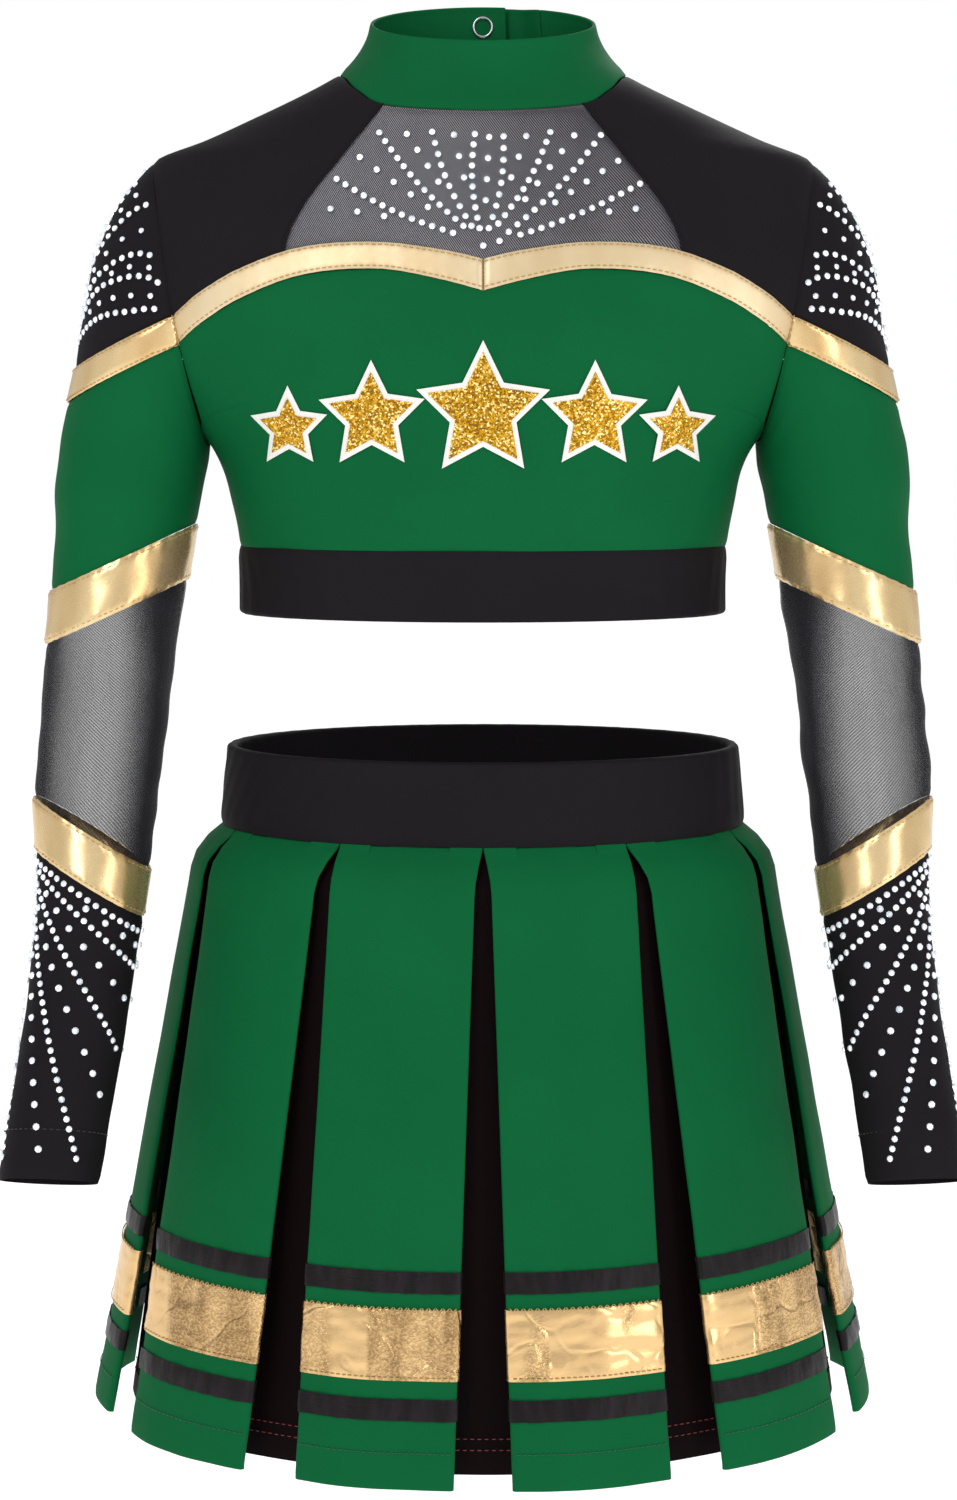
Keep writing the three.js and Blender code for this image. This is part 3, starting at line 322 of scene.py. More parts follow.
def smoothstep(x, low, high):
    share = clamp((x - low) / (high - low), 0, 1)
    return share * share * (3 - 2 * share)


def smooth(*stations):
    """Smooth curve through (x, y) stations with x rising, level at both ends."""
    last = len(stations) - 1
    slopes = [0.0] * (last + 1)
    for i in range(1, last):
        (x0, y0), (x1, y1) = stations[i - 1], stations[i + 1]
        slopes[i] = (y1 - y0) / (x1 - x0)

    def height(x):
        at = clamp(x, stations[0][0], stations[last][0])
        i = 0
        while i < last - 1 and at > stations[i + 1][0]:
            i += 1
        (x0, y0), (x1, y1) = stations[i], stations[i + 1]
        span = x1 - x0
        t = (at - x0) / span
        leave = t * (1 - t) * (1 - t) * span * slopes[i]
        arrive = t * t * (t - 1) * span * slopes[i + 1]
        return lerp(y0, y1, t * t * (3 - 2 * t)) + leave + arrive

    return height


def crossing(falling, low, high):
    """Where a falling function crosses zero."""
    for _ in range(34):
        middle = (low + high) / 2
        if falling(middle) > 0:
            low = middle
        else:
            high = middle
    return (low + high) / 2


def coons(top, bottom, left, right):
    """Patch between four boundary curves, in the surface's own coordinates."""

    def at(u, v):
        corners = top(0), top(1), bottom(0), bottom(1)
        place = []
        for k in (0, 1):
            across = lerp(top(u)[k], bottom(u)[k], v)
            along = lerp(left(v)[k], right(v)[k], u)
            upper = lerp(corners[0][k], corners[1][k], u)
            lower = lerp(corners[2][k], corners[3][k], u)
            place.append(across + along - lerp(upper, lower, v))
        return place

    return at


def ruled(top, bottom):
    """Patch ruled between two curves, in the surface's own coordinates."""

    def at(u, v):
        (a0, b0), (a1, b1) = top(u), bottom(u)
        return lerp(a0, a1, v), lerp(b0, b1, v)

    return at


class Surface:
    """A smooth surface that cloth lies on; step spaces the points that give its normals."""

    def __init__(self, point, step=(1e-3, 0.05), centre=lambda a, b, point: Vector((0, 0, point.z))):
        self.point = point
        self.step = step
        self.centre = centre

    def normal(self, a, b):
        da, db = self.step
        along = self.point(a + da, b) - self.point(a - da, b)
        down = self.point(a, b + db) - self.point(a, b - db)
        normal = along.cross(down).normalized()
        point = self.point(a, b)
        return -normal if normal.dot(point - self.centre(a, b, point)) < 0 else normal


# ---- torso ------------------------------------------------------------------------------------
def between_heights(share):
    return lerp(-ARMPIT_DROP, -SHOULDER_DROP, share)


def below_armpit(share):
    return lerp(-ARMPIT_DROP, BAND_TOP, share)


torso_half_width = smooth(
    (BAND_BOTTOM, BAND_HALF_WIDTH),
    (BAND_TOP, BAND_HALF_WIDTH + 0.5),
    (below_armpit(0.55), lerp(BAND_HALF_WIDTH, ARMPIT_HALF_WIDTH, 0.32)),
    (below_armpit(0.25), lerp(BAND_HALF_WIDTH, ARMPIT_HALF_WIDTH, 0.56)),
    (-ARMPIT_DROP, ARMPIT_HALF_WIDTH),
    (between_heights(0.13), lerp(ARMPIT_HALF_WIDTH, CHEST_HALF_WIDTH, 0.3)),
    (between_heights(0.28), lerp(ARMPIT_HALF_WIDTH, CHEST_HALF_WIDTH, 0.67)),
    (between_heights(0.48), CHEST_HALF_WIDTH),
    (between_heights(0.67), CHEST_HALF_WIDTH),
    (between_heights(0.85), lerp(SHOULDER_HALF_WIDTH, CHEST_HALF_WIDTH, 0.55)),
    (-SHOULDER_DROP, SHOULDER_HALF_WIDTH),
    (-SHOULDER_DROP * 0.76, lerp(NECK_HALF_WIDTH, SHOULDER_HALF_WIDTH, 0.73)),
    (-SHOULDER_DROP * 0.4, lerp(NECK_HALF_WIDTH, SHOULDER_HALF_WIDTH, 0.36)),
    (-SHOULDER_DROP * 0.1, lerp(NECK_HALF_WIDTH, SHOULDER_HALF_WIDTH, 0.08)),
    (1, NECK_HALF_WIDTH),
    (20, NECK_HALF_WIDTH * 0.85),
)
torso_half_depth = smooth(
    (BAND_BOTTOM, BAND_HALF_DEPTH),
    (BAND_TOP, BAND_HALF_DEPTH + 2),
    (-ARMPIT_DROP, CHEST_HALF_DEPTH - 1),
    (between_heights(0.45), CHEST_HALF_DEPTH),
    (-SHOULDER_DROP, lerp(NECK_HALF_DEPTH, CHEST_HALF_DEPTH, 0.42)),
    (-NECK_FRONT_DROP, lerp(NECK_HALF_DEPTH, CHEST_HALF_DEPTH, 0.28)),
    (0, NECK_HALF_DEPTH),
    (20, NECK_HALF_DEPTH * 0.9),
)


def torso_point(angle, z):
    return Vector((torso_half_width(z) * math.sin(angle), -torso_half_depth(z) * math.cos(angle), z))


torso = Surface(torso_point)


def armhole_x(z):
    """The armhole lies in a plane that leans in towards the armpit."""
    share = (z + ARMPIT_DROP) / (ARMPIT_DROP - SHOULDER_DROP)
    return lerp(ARMPIT_HALF_WIDTH, SHOULDER_HALF_WIDTH, share)


def armhole_angle(z):
    """How far round the torso reaches at a height: the armhole's edge, or the side seam."""
    if z <= -ARMPIT_DROP or z >= -SHOULDER_DROP:
        return math.pi / 2
    return math.asin(min(armhole_x(z) / torso_half_width(z), 1))


def torso_at(x, z, back=False):
    """Torso coordinates of the point at x and z, on the front or the back."""
    angle = math.asin(clamp(x / torso_half_width(z), -1, 1))
    return (math.pi - angle if back else angle), z


neckline_height = smooth(
    (0, -NECK_FRONT_DROP),
    (math.radians(25), -NECK_FRONT_DROP * 0.84),
    (math.radians(40), -NECK_FRONT_DROP * 0.5),
    (math.radians(60), -NECK_FRONT_DROP * 0.16),
    (math.radians(90), 1),
    (math.radians(130), lerp(1, NECK_BACK_RISE, 0.6)),
    (math.pi, NECK_BACK_RISE),
)


def neckline(angle):
    return angle, neckline_height(abs(angle))


binding_end_x = armhole_x(-BINDING_AT_ARMHOLE)
binding_reach = binding_end_x * 1.06


def binding_station(share, rise):
    return binding_end_x * share, -BINDING_AT_ARMHOLE + rise


binding_top = smooth(
    binding_station(-0.13, 16),
    binding_station(0, 21),
    binding_station(0.13, 25),
    binding_station(0.34, 28.5),
    binding_station(0.58, 26.5),
    binding_station(0.78, 17.5),
    binding_station(0.9, 8.5),
    binding_station(1.06, -5),
)
binding_depth = smooth(
    (0, BINDING_WIDTH),
    (binding_end_x * 0.34, BINDING_WIDTH * 0.85),
    (binding_end_x, BINDING_WIDTH),
)
back_binding_top = smooth(
    (0, -BACK_BINDING_AT_CENTRE),
    (binding_end_x * 0.5, lerp(-BACK_BINDING_AT_CENTRE, -BINDING_AT_ARMHOLE, 0.25)),
    (binding_end_x * 0.8, lerp(-BACK_BINDING_AT_CENTRE, -BINDING_AT_ARMHOLE, 0.68)),
    (binding_reach, -BINDING_AT_ARMHOLE - 1),
)


def binding_line(back, below):
    """Edge of the gold binding at share u of the way from the centre to the armhole."""
    top = back_binding_top if back else binding_top

    def height(x):
        return top(abs(x)) - (binding_depth(abs(x)) if below else 0)

    limit = crossing(lambda x: armhole_x(height(x)) - x, 0, binding_reach)
    return lambda u: torso_at(u * limit, height(u * limit), back)


front_yoke_edge = binding_line(False, False)
front_bodice_top = binding_line(False, True)
back_yoke_edge = binding_line(True, False)
back_bodice_top = binding_line(True, True)


def raglan_seam(back):
    """Raglan seam between the neckline (v = 0) and the binding (v = 1)."""
    binding = back_binding_top if back else binding_top
    neck_x = YOKE_HALF_WIDTH_AT_NECK * (BACK_YOKE_NECK_SHARE if back else 1)
    line = smooth(
        (-0.3, lerp(neck_x, YOKE_HALF_WIDTH_AT_BINDING, -0.34)),
        (0, neck_x),
        (0.36, lerp(neck_x, YOKE_HALF_WIDTH_AT_BINDING, 0.43)),
        (0.69, lerp(neck_x, YOKE_HALF_WIDTH_AT_BINDING, 0.82)),
        (1, YOKE_HALF_WIDTH_AT_BINDING),
    )

    def short(angle):
        at = math.pi - angle if back else angle
        return neck_x - torso_half_width(neckline(at)[1]) * math.sin(angle)

    turned = crossing(short, 0, math.pi / 3)
    neck_z = neckline(math.pi - turned if back else turned)[1]
    end_z = binding(YOKE_HALF_WIDTH_AT_BINDING)
    return lambda v: torso_at(line(v), lerp(neck_z, end_z, v), back)


def mirrored(curve):
    return lambda v: (-curve(v)[0], curve(v)[1])


# ---- collar -----------------------------------------------------------------------------------
def collar_point(angle, height):
    """The collar rises from the neckline and draws in quickly at its base."""
    turned = math.atan2(math.sin(angle), math.cos(angle))
    base = torso_point(*neckline(turned))
    top_x = COLLAR_TOP_HALF_WIDTH * math.sin(angle)
    top_y = -COLLAR_TOP_HALF_DEPTH * math.cos(angle)
    top_z = lerp(COLLAR_BACK_TOP, COLLAR_FRONT_TOP, (1 + math.cos(angle)) / 2)
    inwards = 1 - max(1 - height, 0) ** COLLAR_FLARE
    across, forth = lerp(base.x, top_x, inwards), lerp(base.y, top_y, inwards)
    return Vector((across, forth, lerp(base.z, top_z, height)))


collar_surface = Surface(collar_point, (1e-3, 1e-3))
underlap_end = math.pi + COLLAR_UNDERLAP / COLLAR_TOP_HALF_WIDTH


def tab_point(angle, height):
    """The overlapping end steps outwards, over the end beneath it."""
    rise = TAB_STAND_OFF * smoothstep(angle, TAB_START, TAB_RISE_END)
    return collar_point(angle, height) + rise * collar_surface.normal(angle, height)


tab_surface = Surface(tab_point, (1e-3, 1e-3))

# ---- sleeve -----------------------------------------------------------------------------------
armhole_height = math.hypot(ARMPIT_DROP - SHOULDER_DROP, SHOULDER_HALF_WIDTH - ARMPIT_HALF_WIDTH)
armhole_lean = math.atan2(ARMPIT_DROP - SHOULDER_DROP, SHOULDER_HALF_WIDTH - ARMPIT_HALF_WIDTH)
SLEEVE_LEAN = 0.035
upper_fall = smooth((0, 0), (0.125, 0.011), (0.25, 0.04), (0.375, 0.131), (0.5, 0.32), (1, 1))


def sleeve_fall(t):
    """How far down the arm a ring lies; the rings fan out from the armhole, then run evenly."""
    return upper_fall(t) if t < 0.5 else lerp(0.32, 1, (t - 0.5) / 0.5)


ring_lean = smooth(
    (0, armhole_lean),
    (0.125, armhole_lean * 0.785),
    (0.25, armhole_lean * 0.54),
    (0.375, armhole_lean * 0.15),
    (0.5, SLEEVE_LEAN),
    (1, SLEEVE_LEAN),
)
ring_width = smooth(
    (0, armhole_height),
    (0.125, lerp(BICEPS_WIDTH, armhole_height, 0.63)),
    (0.25, lerp(BICEPS_WIDTH, armhole_height, 0.22)),
    (0.375, BICEPS_WIDTH),
    (0.5, lerp(BICEPS_WIDTH, ELBOW_WIDTH, 0.7)),
    (0.62, ELBOW_WIDTH),
    (0.75, lerp(ELBOW_WIDTH, WRIST_WIDTH, 0.75)),
    (1, WRIST_WIDTH),
)
ring_half_depth = smooth(
    (0, ARMHOLE_HALF_DEPTH),
    (0.125, lerp(BICEPS_HALF_DEPTH, ARMHOLE_HALF_DEPTH, 0.92)),
    (0.25, lerp(BICEPS_HALF_DEPTH, ARMHOLE_HALF_DEPTH, 0.5)),
    (0.375, BICEPS_HALF_DEPTH),
    (0.5, lerp(BICEPS_HALF_DEPTH, WRIST_HALF_DEPTH, 0.32)),
    (1, WRIST_HALF_DEPTH),
)
inner_x = smooth(
    (0, ARMPIT_HALF_WIDTH),
    (0.13, lerp(ARMPIT_HALF_WIDTH, WRIST_INNER_X, 0.18)),
    (0.32, lerp(ARMPIT_HALF_WIDTH, WRIST_INNER_X, 0.42)),
    (0.6, lerp(ARMPIT_HALF_WIDTH, WRIST_INNER_X, 0.67)),
    (1.3, lerp(ARMPIT_HALF_WIDTH, WRIST_INNER_X, 1.3)),
)
forward = smooth(
    (-0.2, 0),
    (0.13, WRIST_FORWARD * 0.06),
    (0.35, WRIST_FORWARD * 0.2),
    (0.55, WRIST_FORWARD * 0.4),
    (0.75, WRIST_FORWARD * 0.65),
    (1, WRIST_FORWARD),
    (1.25, WRIST_FORWARD * 1.35),
)


def ring_centre(t):
    fall, lean, half = sleeve_fall(t), ring_lean(t), ring_width(t) / 2
    across = inner_x(fall) + half * math.cos(lean)
    height = -ARMPIT_DROP - fall * SLEEVE_DROP + half * math.sin(lean)
    return Vector((across, -forward(fall), height))


ring_memo = {}


def ring_at(t):
    """Centre, outward half and forward half of the sleeve's oval ring."""
    if t not in ring_memo:
        lean = ring_lean(t)
        outward = Vector((math.cos(lean), 0, math.sin(lean)))
        down = ring_centre(min(t + 0.01, 1)) - ring_centre(max(t - 0.01, 0))
        square = outward.cross(down).normalized()
        if square.y > 0:
            square.negate()
        front = Vector((0, -1, 0)).lerp(square, smoothstep(t, 0.3, 0.6)).normalized()
        ring_memo[t] = ring_centre(t), outward * ring_width(t) / 2, front * ring_half_depth(t)
    return ring_memo[t]


def ring_point(turn, t):
    centre, outward, front = ring_at(t)
    return centre + outward * math.cos(turn) + front * math.sin(turn)


fit_memo = {}


def armhole_fit(turn):
    """From the first ring to the armhole's edge, at an angle round it from the top to the front."""
    if turn not in fit_memo:
        z = lerp(-ARMPIT_DROP, -SHOULDER_DROP, (1 + math.cos(turn)) / 2)
        angle = armhole_angle(z)
        edge = torso_point(angle if math.sin(turn) >= 0 else math.pi - angle, z)
        fit_memo[turn] = edge - ring_point(turn, 0)
    return fit_memo[turn]


def sleeve_point(turn, t):
    at = clamp(t, 0, 1)
    return ring_point(turn, at) + armhole_fit(turn) * (1 - smoothstep(at, 0, 0.17))


sleeve = Surface(sleeve_point, (1e-3, 1e-3), lambda turn, t, point: ring_at(clamp(t, 0, 1))[0])


def arm_y(z):
    return -forward(clamp((-ARMPIT_DROP - z) / SLEEVE_DROP, -0.2, 1))


def cap_strip_edge(offset):
    """The cap's strip carries on from the ends of the front and back bindings."""
    front, back = torso_point(*front_yoke_edge(1)), torso_point(*back_yoke_edge(1))
    tilt = (front.z - back.z) / (back.y - front.y)

    def edge(point):
        return front.z + offset - STRIP_SLOPE * (point.x - front.x) - tilt * (point.y - front.y)

    return edge


def slanted_plane(x, height, slope, tilt):
    """A strip's edge lies in a slanted plane: height is given where the plane meets a reference x."""
    return lambda point: height - slope * (point.x - x) - tilt * (point.y - arm_y(point.z))


def cut_at(plane):
    """How far down the sleeve a slanted plane cuts it, as a function of the angle round the sleeve."""
    memo = {}

    def above(turn, t):
        point = sleeve_point(turn, t)
        return point.z - plane(point)

    def at(turn):
        if turn not in memo:
            memo[turn] = 0 if above(turn, 0) <= 0 else crossing(lambda t: above(turn, t), 0, 1)
        return memo[turn]

    return at


def upper_strip_edge(offset):
    height = -UPPER_STRIP_AT_INNER + offset
    return slanted_plane(UPPER_STRIP_X, height, STRIP_SLOPE, UPPER_STRIP_TILT)


def lower_strip_edge(offset):
    height = -LOWER_STRIP_AT_OUTER + offset
    return slanted_plane(LOWER_STRIP_X, height, LOWER_STRIP_SLOPE, LOWER_STRIP_TILT)


def meeting_angle(plane, face):
    """The angle round the armhole at which a plane meets it, on the front (1) or the back (-1)."""

    def above(turn):
        point = sleeve_point(face * turn, 0)
        return point.z - plane(point)

    return face * crossing(above, 0.3, math.pi - 0.3)


# ---- skirt ------------------------------------------------------------------------------------
HIP = WAIST_BOTTOM - HIP_DROP


def waist_point(angle, z):
    flare = WAISTBAND_FLARE * (WAIST_TOP - z) / (WAIST_TOP - WAIST_BOTTOM)
    half_width, half_depth = WAIST_HALF_WIDTH + flare, WAIST_HALF_DEPTH + flare
    return Vector((half_width * math.sin(angle), -half_depth * math.cos(angle), z))


def skirt_half(z, waist_size, hip_size, hem_size):
    """The skirt's half-width or half-depth: a short curve over the hip, then a straight flare."""
    if z > HIP:
        share = clamp((WAIST_BOTTOM - z) / HIP_DROP, 0, 1)
        return lerp(waist_size, hip_size, math.sin(share * math.pi / 2))
    return lerp(hip_size, hem_size, (HIP - z) / (HIP - HEM))


def skirt_point(angle, z):
    half_width = skirt_half(z, WAIST_HALF_WIDTH + WAISTBAND_FLARE, HIP_HALF_WIDTH, HEM_HALF_WIDTH)
    half_depth = skirt_half(z, WAIST_HALF_DEPTH + WAISTBAND_FLARE, HIP_HALF_DEPTH, HEM_HALF_DEPTH)
    return Vector((half_width * math.sin(angle), -half_depth * math.cos(angle), z))


waist = Surface(waist_point)
skirt = Surface(skirt_point)
oval_memo = {}
OVAL_STEPS = 720


def oval_lengths(z):
    """Lengths along the skirt's oval at a height, from the centre front."""
    if z not in oval_memo:
        turns = np.linspace(0, 2 * math.pi, OVAL_STEPS + 1)
        side, front = skirt_point(math.pi / 2, z).x, -skirt_point(0, z).y
        points = np.stack([side * np.sin(turns), front * np.cos(turns)], axis=1)
        steps = np.linalg.norm(np.diff(points, axis=0), axis=1)
        oval_memo[z] = np.concatenate([[0], np.cumsum(steps)])
    return oval_memo[z]


def oval_angle(share, shift, z):
    """The angle that lies a share of the way round the oval, moved on by a number of millimetres."""
    lengths = oval_lengths(z)
    girth = lengths[-1]
    along = share * girth + shift
    turns = math.floor(along / girth)
    part = np.interp(along - turns * girth, lengths, np.arange(OVAL_STEPS + 1))
    return 2 * math.pi * (float(part) / OVAL_STEPS + turns)


# ---- sheets, stitches and stones --------------------------------------------------------------
class Spot:
    """A point of a sheet, and how far it is from each of the sheet's edges in millimetres."""

    def __init__(self, u, v, point, left, right, top, bottom):
        self.u, self.v, self.point = u, v, point
        self.left, self.right, self.top, self.bottom = left, right, top, bottom


def spread(count_or_list):
    if isinstance(count_or_list, int):
        return [k / count_or_list for k in range(count_or_list + 1)]
    return list(count_or_list)


def new_mesh_object(name, vertices, faces):
    mesh = bpy.data.meshes.new(name)
    mesh.from_pydata(vertices, [], faces)
    piece = bpy.data.objects.new(name, mesh)
    bpy.context.collection.objects.link(piece)
    return piece


def make_active(piece):
    bpy.ops.object.select_all(action="DESELECT")
    piece.select_set(True)
    bpy.context.view_layer.objects.active = piece


def apply_modifiers(piece):
    make_active(piece)
    for modifier in list(piece.modifiers):
        bpy.ops.object.modifier_apply(modifier=modifier.name)


def lengths_along(points):
    """Running length along each line of points, for an array of lines."""
    steps = np.linalg.norm(np.diff(points, axis=1), axis=2)
    return np.concatenate([np.zeros((len(points), 1)), np.cumsum(steps, axis=1)], axis=1)


def sheet(name, surface, patch, columns, rows, relief, thickness=CLOTH, loop=False, side=1, edge=0):
    """An open sheet on a surface, thickened inwards, with a map in metres along and down the cloth."""
    us, vs = spread(columns), spread(rows)
    wide, tall = len(us), len(vs)
    places = [[patch(u, v) for v in vs] for u in us]
    flip = Vector((side, 1, 1))
    base = np.array([[surface.point(*place) * flip for place in column] for column in places])
    normals = np.array([[surface.normal(*place) * flip for place in column] for column in places])
    down = lengths_along(base)
    across = lengths_along(base.transpose(1, 0, 2)).T
    stands = np.zeros((wide, tall))
    for i, u in enumerate(us):
        for j, v in enumerate(vs):
            left, right = across[i, j], across[-1, j] - across[i, j]
            top, bottom = down[i, j], down[i, -1] - down[i, j]
            stands[i, j] = relief(Spot(u, v, Vector(base[i, j]), left, right, top, bottom))
    if loop:
        stands[-1] = stands[0]
    points = base + normals * stands[:, :, None]
    kept = wide - 1 if loop else wide
    vertices = [tuple(MM * points[i, j]) for i in range(kept) for j in range(tall)]
    middle = wide // 2, tall // 2
    turn = np.cross(
        base[middle[0], middle[1]] - base[middle[0] - 1, middle[1]],
        base[middle[0], middle[1]] - base[middle[0], middle[1] - 1],
    )
    outward = np.dot(turn, normals[middle]) > 0
    faces, maps = [], []
    for i in range(wide - 1):
        for j in range(tall - 1):
            corners = [(i, j), (i + 1, j), (i + 1, j + 1), (i, j + 1)]
            if not outward:
                corners.reverse()
            faces.append([(column % kept) * tall + row for column, row in corners])
            maps += [(across[c, r] - across[-1, r] / 2, -down[c, r]) for c, r in corners]
    piece = new_mesh_object(name, vertices, faces)
    layer = piece.data.uv_layers.new(name="UVMap")
    layer.data.foreach_set("uv", (MM * np.array(maps)).ravel())
    merge_doubles(piece)
    piece["cut"] = [MM * float(across[-1].max()), MM * float(down[:, -1].max())]
    piece["cut_area"] = sum(face.area for face in piece.data.polygons)
    piece.data.polygons.foreach_set("use_smooth", [True] * len(piece.data.polygons))
    if thickness:
        solid = piece.modifiers.new("thickness", "SOLIDIFY")
        solid.thickness = thickness * MM
        solid.offset = -1
    if edge:
        bevel = piece.modifiers.new("edge", "BEVEL")
        bevel.width = edge * MM
        bevel.segments = 2
        bevel.limit_method = "ANGLE"
        bevel.angle_limit = math.radians(60)
    apply_modifiers(piece)
    piece.data.set_sharp_from_angle(angle=math.radians(50))
    return piece


def merge_doubles(piece):
    shape = bmesh.new()
    shape.from_mesh(piece.data)
    bmesh.ops.remove_doubles(shape, verts=shape.verts, dist=1e-6)
    shape.to_mesh(piece.data)
    shape.free()


def declare(piece, held="hung", rests_on=(), with_pieces=()):
    """Declares a sheet with the size and area that it was cut to."""
    width, length = piece["cut"]
    area = clamp(piece["cut_area"], 0.31 * width * length, width * length)
    flat = (width, length)
    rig.sheet(piece, flat=flat, held=held, rests_on=rests_on, area=area, with_pieces=with_pieces)


def pinch(distance, depth=0.6, reach=3.0):
    """The cloth draws in next to a seam."""
    return -depth * (1 - smoothstep(distance, 0, reach))


def ripple(point, size, height, seed=0):
    """Soft unevenness of cloth, from smooth noise of a given size."""
    return height * noise.noise(Vector(point) / size + Vector((seed, 0, 0)))


def stamp(name, shape, frames):
    """One mesh made of copies of a small shape, each set by its own matrix."""
    corners = np.array([vertex.co for vertex in shape.vertices])
    polygons = [list(face.vertices) for face in shape.polygons]
    vertices, faces = [], []
    for setting in frames:
        matrix = np.array(setting)
        start = len(vertices)
        vertices += [tuple(row) for row in corners @ matrix[:3, :3].T + matrix[:3, 3]]
        faces += [[start + k for k in polygon] for polygon in polygons]
    return new_mesh_object(name, vertices, faces)


def seat(point, outward, along):
    """Matrix that sets a shape at a point in millimetres, its Z on outward and its X along a direction."""
    forward_axis = (along - outward * along.dot(outward)).normalized()
    sideways = outward.cross(forward_axis)
    turn = Matrix((forward_axis, sideways, outward)).transposed().to_4x4()
    return Matrix.Translation(point * MM) @ turn


def along_line(surface, line, stand, pitch, side=1, start=0.0, end=1.0, samples=160):
    """Evenly pitched (point, outward, along) places on a line of a surface, offset outwards."""
    flip = Vector((side, 1, 1))
    track = []
    for k in range(samples + 1):
        place = line(lerp(start, end, k / samples))
        track.append((surface.point(*place) * flip, place))
    lengths = [0.0]
    for (a, _), (b, _) in zip(track, track[1:]):
        lengths.append(lengths[-1] + (b - a).length)
    count = int(lengths[-1] / pitch)
    places = []
    for n in range(count):
        at = (n + 0.5) * lengths[-1] / count
        share = float(np.interp(at, lengths, np.linspace(start, end, samples + 1)))
        place, ahead = line(share), line(min(share + 0.002, end))
        behind = line(max(share - 0.002, start))
        outward = surface.normal(*place) * flip
        along = (surface.point(*ahead) - surface.point(*behind)) * flip
        if along.length > 0:
            places.append((surface.point(*place) * flip + outward * stand, outward, along.normalized()))
    return places


# ---- finishes ---------------------------------------------------------------------------------
class Tone:
    """A number that varies over a finish; arithmetic on it adds Math nodes."""

    def __init__(self, finish, socket):
        self.finish = finish
        self.socket = socket

    def maths(self, operation, *values):
        node = self.finish.add("ShaderNodeMath", {"operation": operation}, dict(enumerate(values)))
        return Tone(self.finish, node.outputs[0])

    def __add__(self, other):
        return self.maths("ADD", self, other)

    def __sub__(self, other):
        return self.maths("SUBTRACT", self, other)

    def __rsub__(self, other):
        return self.maths("SUBTRACT", other, self)

    def __mul__(self, other):
        return self.maths("MULTIPLY", self, other)

    def __pow__(self, other):
        return self.maths("POWER", self, other)

    __radd__ = __add__
    __rmul__ = __mul__

    def sine(self):
        return self.maths("SINE", self)

    def fraction(self):
        return self.maths("FRACT", self)

    def absolute(self):
        return self.maths("ABSOLUTE", self)

    def between(self, low, high):
        """0 below low, 1 above high, and a soft step between them."""
        settings = {"interpolation_type": "SMOOTHSTEP"}
        sockets = {"Value": self, "From Min": low, "From Max": high}
        node = self.finish.add("ShaderNodeMapRange", settings, sockets)
        return Tone(self.finish, node.outputs["Result"])


def linear(red, green, blue):
    """Scene colour of a screen colour given from 0 to 255."""

    def scene_value(part):
        return part / 12.92 if part <= 0.04045 else ((part + 0.055) / 1.055) ** 2.4

    return [scene_value(value / 255) for value in (red, green, blue)] + [1.0]


def darker(colour, share):
    return [value * share for value in colour[:3]] + [1.0]


class Finish:
    """A material built node by node around one Principled shader."""

    def __init__(self, name):
        self.material = bpy.data.materials.new(name)
        self.material.use_nodes = True
        self.tree = self.material.node_tree
        self.tree.nodes.clear()
        self.shader = self.add("ShaderNodeBsdfPrincipled")
        output = self.add("ShaderNodeOutputMaterial")
        self.tree.links.new(self.shader.outputs["BSDF"], output.inputs["Surface"])
        coordinates = self.add("ShaderNodeTexCoord")
        self.cloth_map = coordinates.outputs["UV"]
        self.place = coordinates.outputs["Object"]
        split = self.add("ShaderNodeSeparateXYZ", {}, {"Vector": self.cloth_map})
        self.across = Tone(self, split.outputs["X"])
        self.down = Tone(self, split.outputs["Y"])

    def add(self, kind, settings=None, sockets=None):
        """A node, with its settings made first and then the values or links of its sockets."""
        node = self.tree.nodes.new(kind)
        for key, value in (settings or {}).items():
            setattr(node, key, value)
        for key, value in (sockets or {}).items():
            self.feed(node.inputs[key], value)
        return node

    def feed(self, socket, value):
        if isinstance(value, Tone):
            value = value.socket
        if isinstance(value, bpy.types.NodeSocket):
            self.tree.links.new(value, socket)
        else:
            socket.default_value = value

    def noise(self, size, detail=2.0, roughness=0.5, vector=None, stretch=(1, 1, 1)):
        """Smooth noise from 0 to 1, with features of a size in metres."""
        source = self.place if vector is None else vector
        if stretch != (1, 1, 1):
            mapping = self.add("ShaderNodeMapping", {}, {"Vector": source, "Scale": stretch})
            source = mapping.outputs["Vector"]
        sockets = {"Vector": source, "Scale": 1 / size, "Detail": detail, "Roughness": roughness}
        return Tone(self, self.add("ShaderNodeTexNoise", {}, sockets).outputs["Fac"])

    def cells(self, size):
        """Voronoi cells of a size in metres."""
        return self.add("ShaderNodeTexVoronoi", {}, {"Vector": self.place, "Scale": 1 / size})

    def chance(self, size):
        """A number from 0 to 1 that is the same all over each cell of a size in metres."""
        split = self.add("ShaderNodeSeparateColor", {}, {"Color": self.cells(size).outputs["Color"]})
        return Tone(self, split.outputs[0])

    def mix(self, share, first, second):
        """A colour between two colours."""
        node = self.add("ShaderNodeMix", {"data_type": "RGBA"}, {0: share, 6: first, 7: second})
        return node.outputs[2]

    def bump(self, height, depth, strength=1.0, normal=None):
        """Normals of a relief whose height runs from 0 to 1 over a depth in metres."""
        sockets = {"Height": height, "Distance": depth, "Strength": strength}
        if normal is not None:
            sockets["Normal"] = normal
        return self.add("ShaderNodeBump", {}, sockets).outputs["Normal"]

    def set(self, **values):
        for key, value in values.items():
            self.feed(self.shader.inputs[key.replace("_", " ")], value)
        return self.material


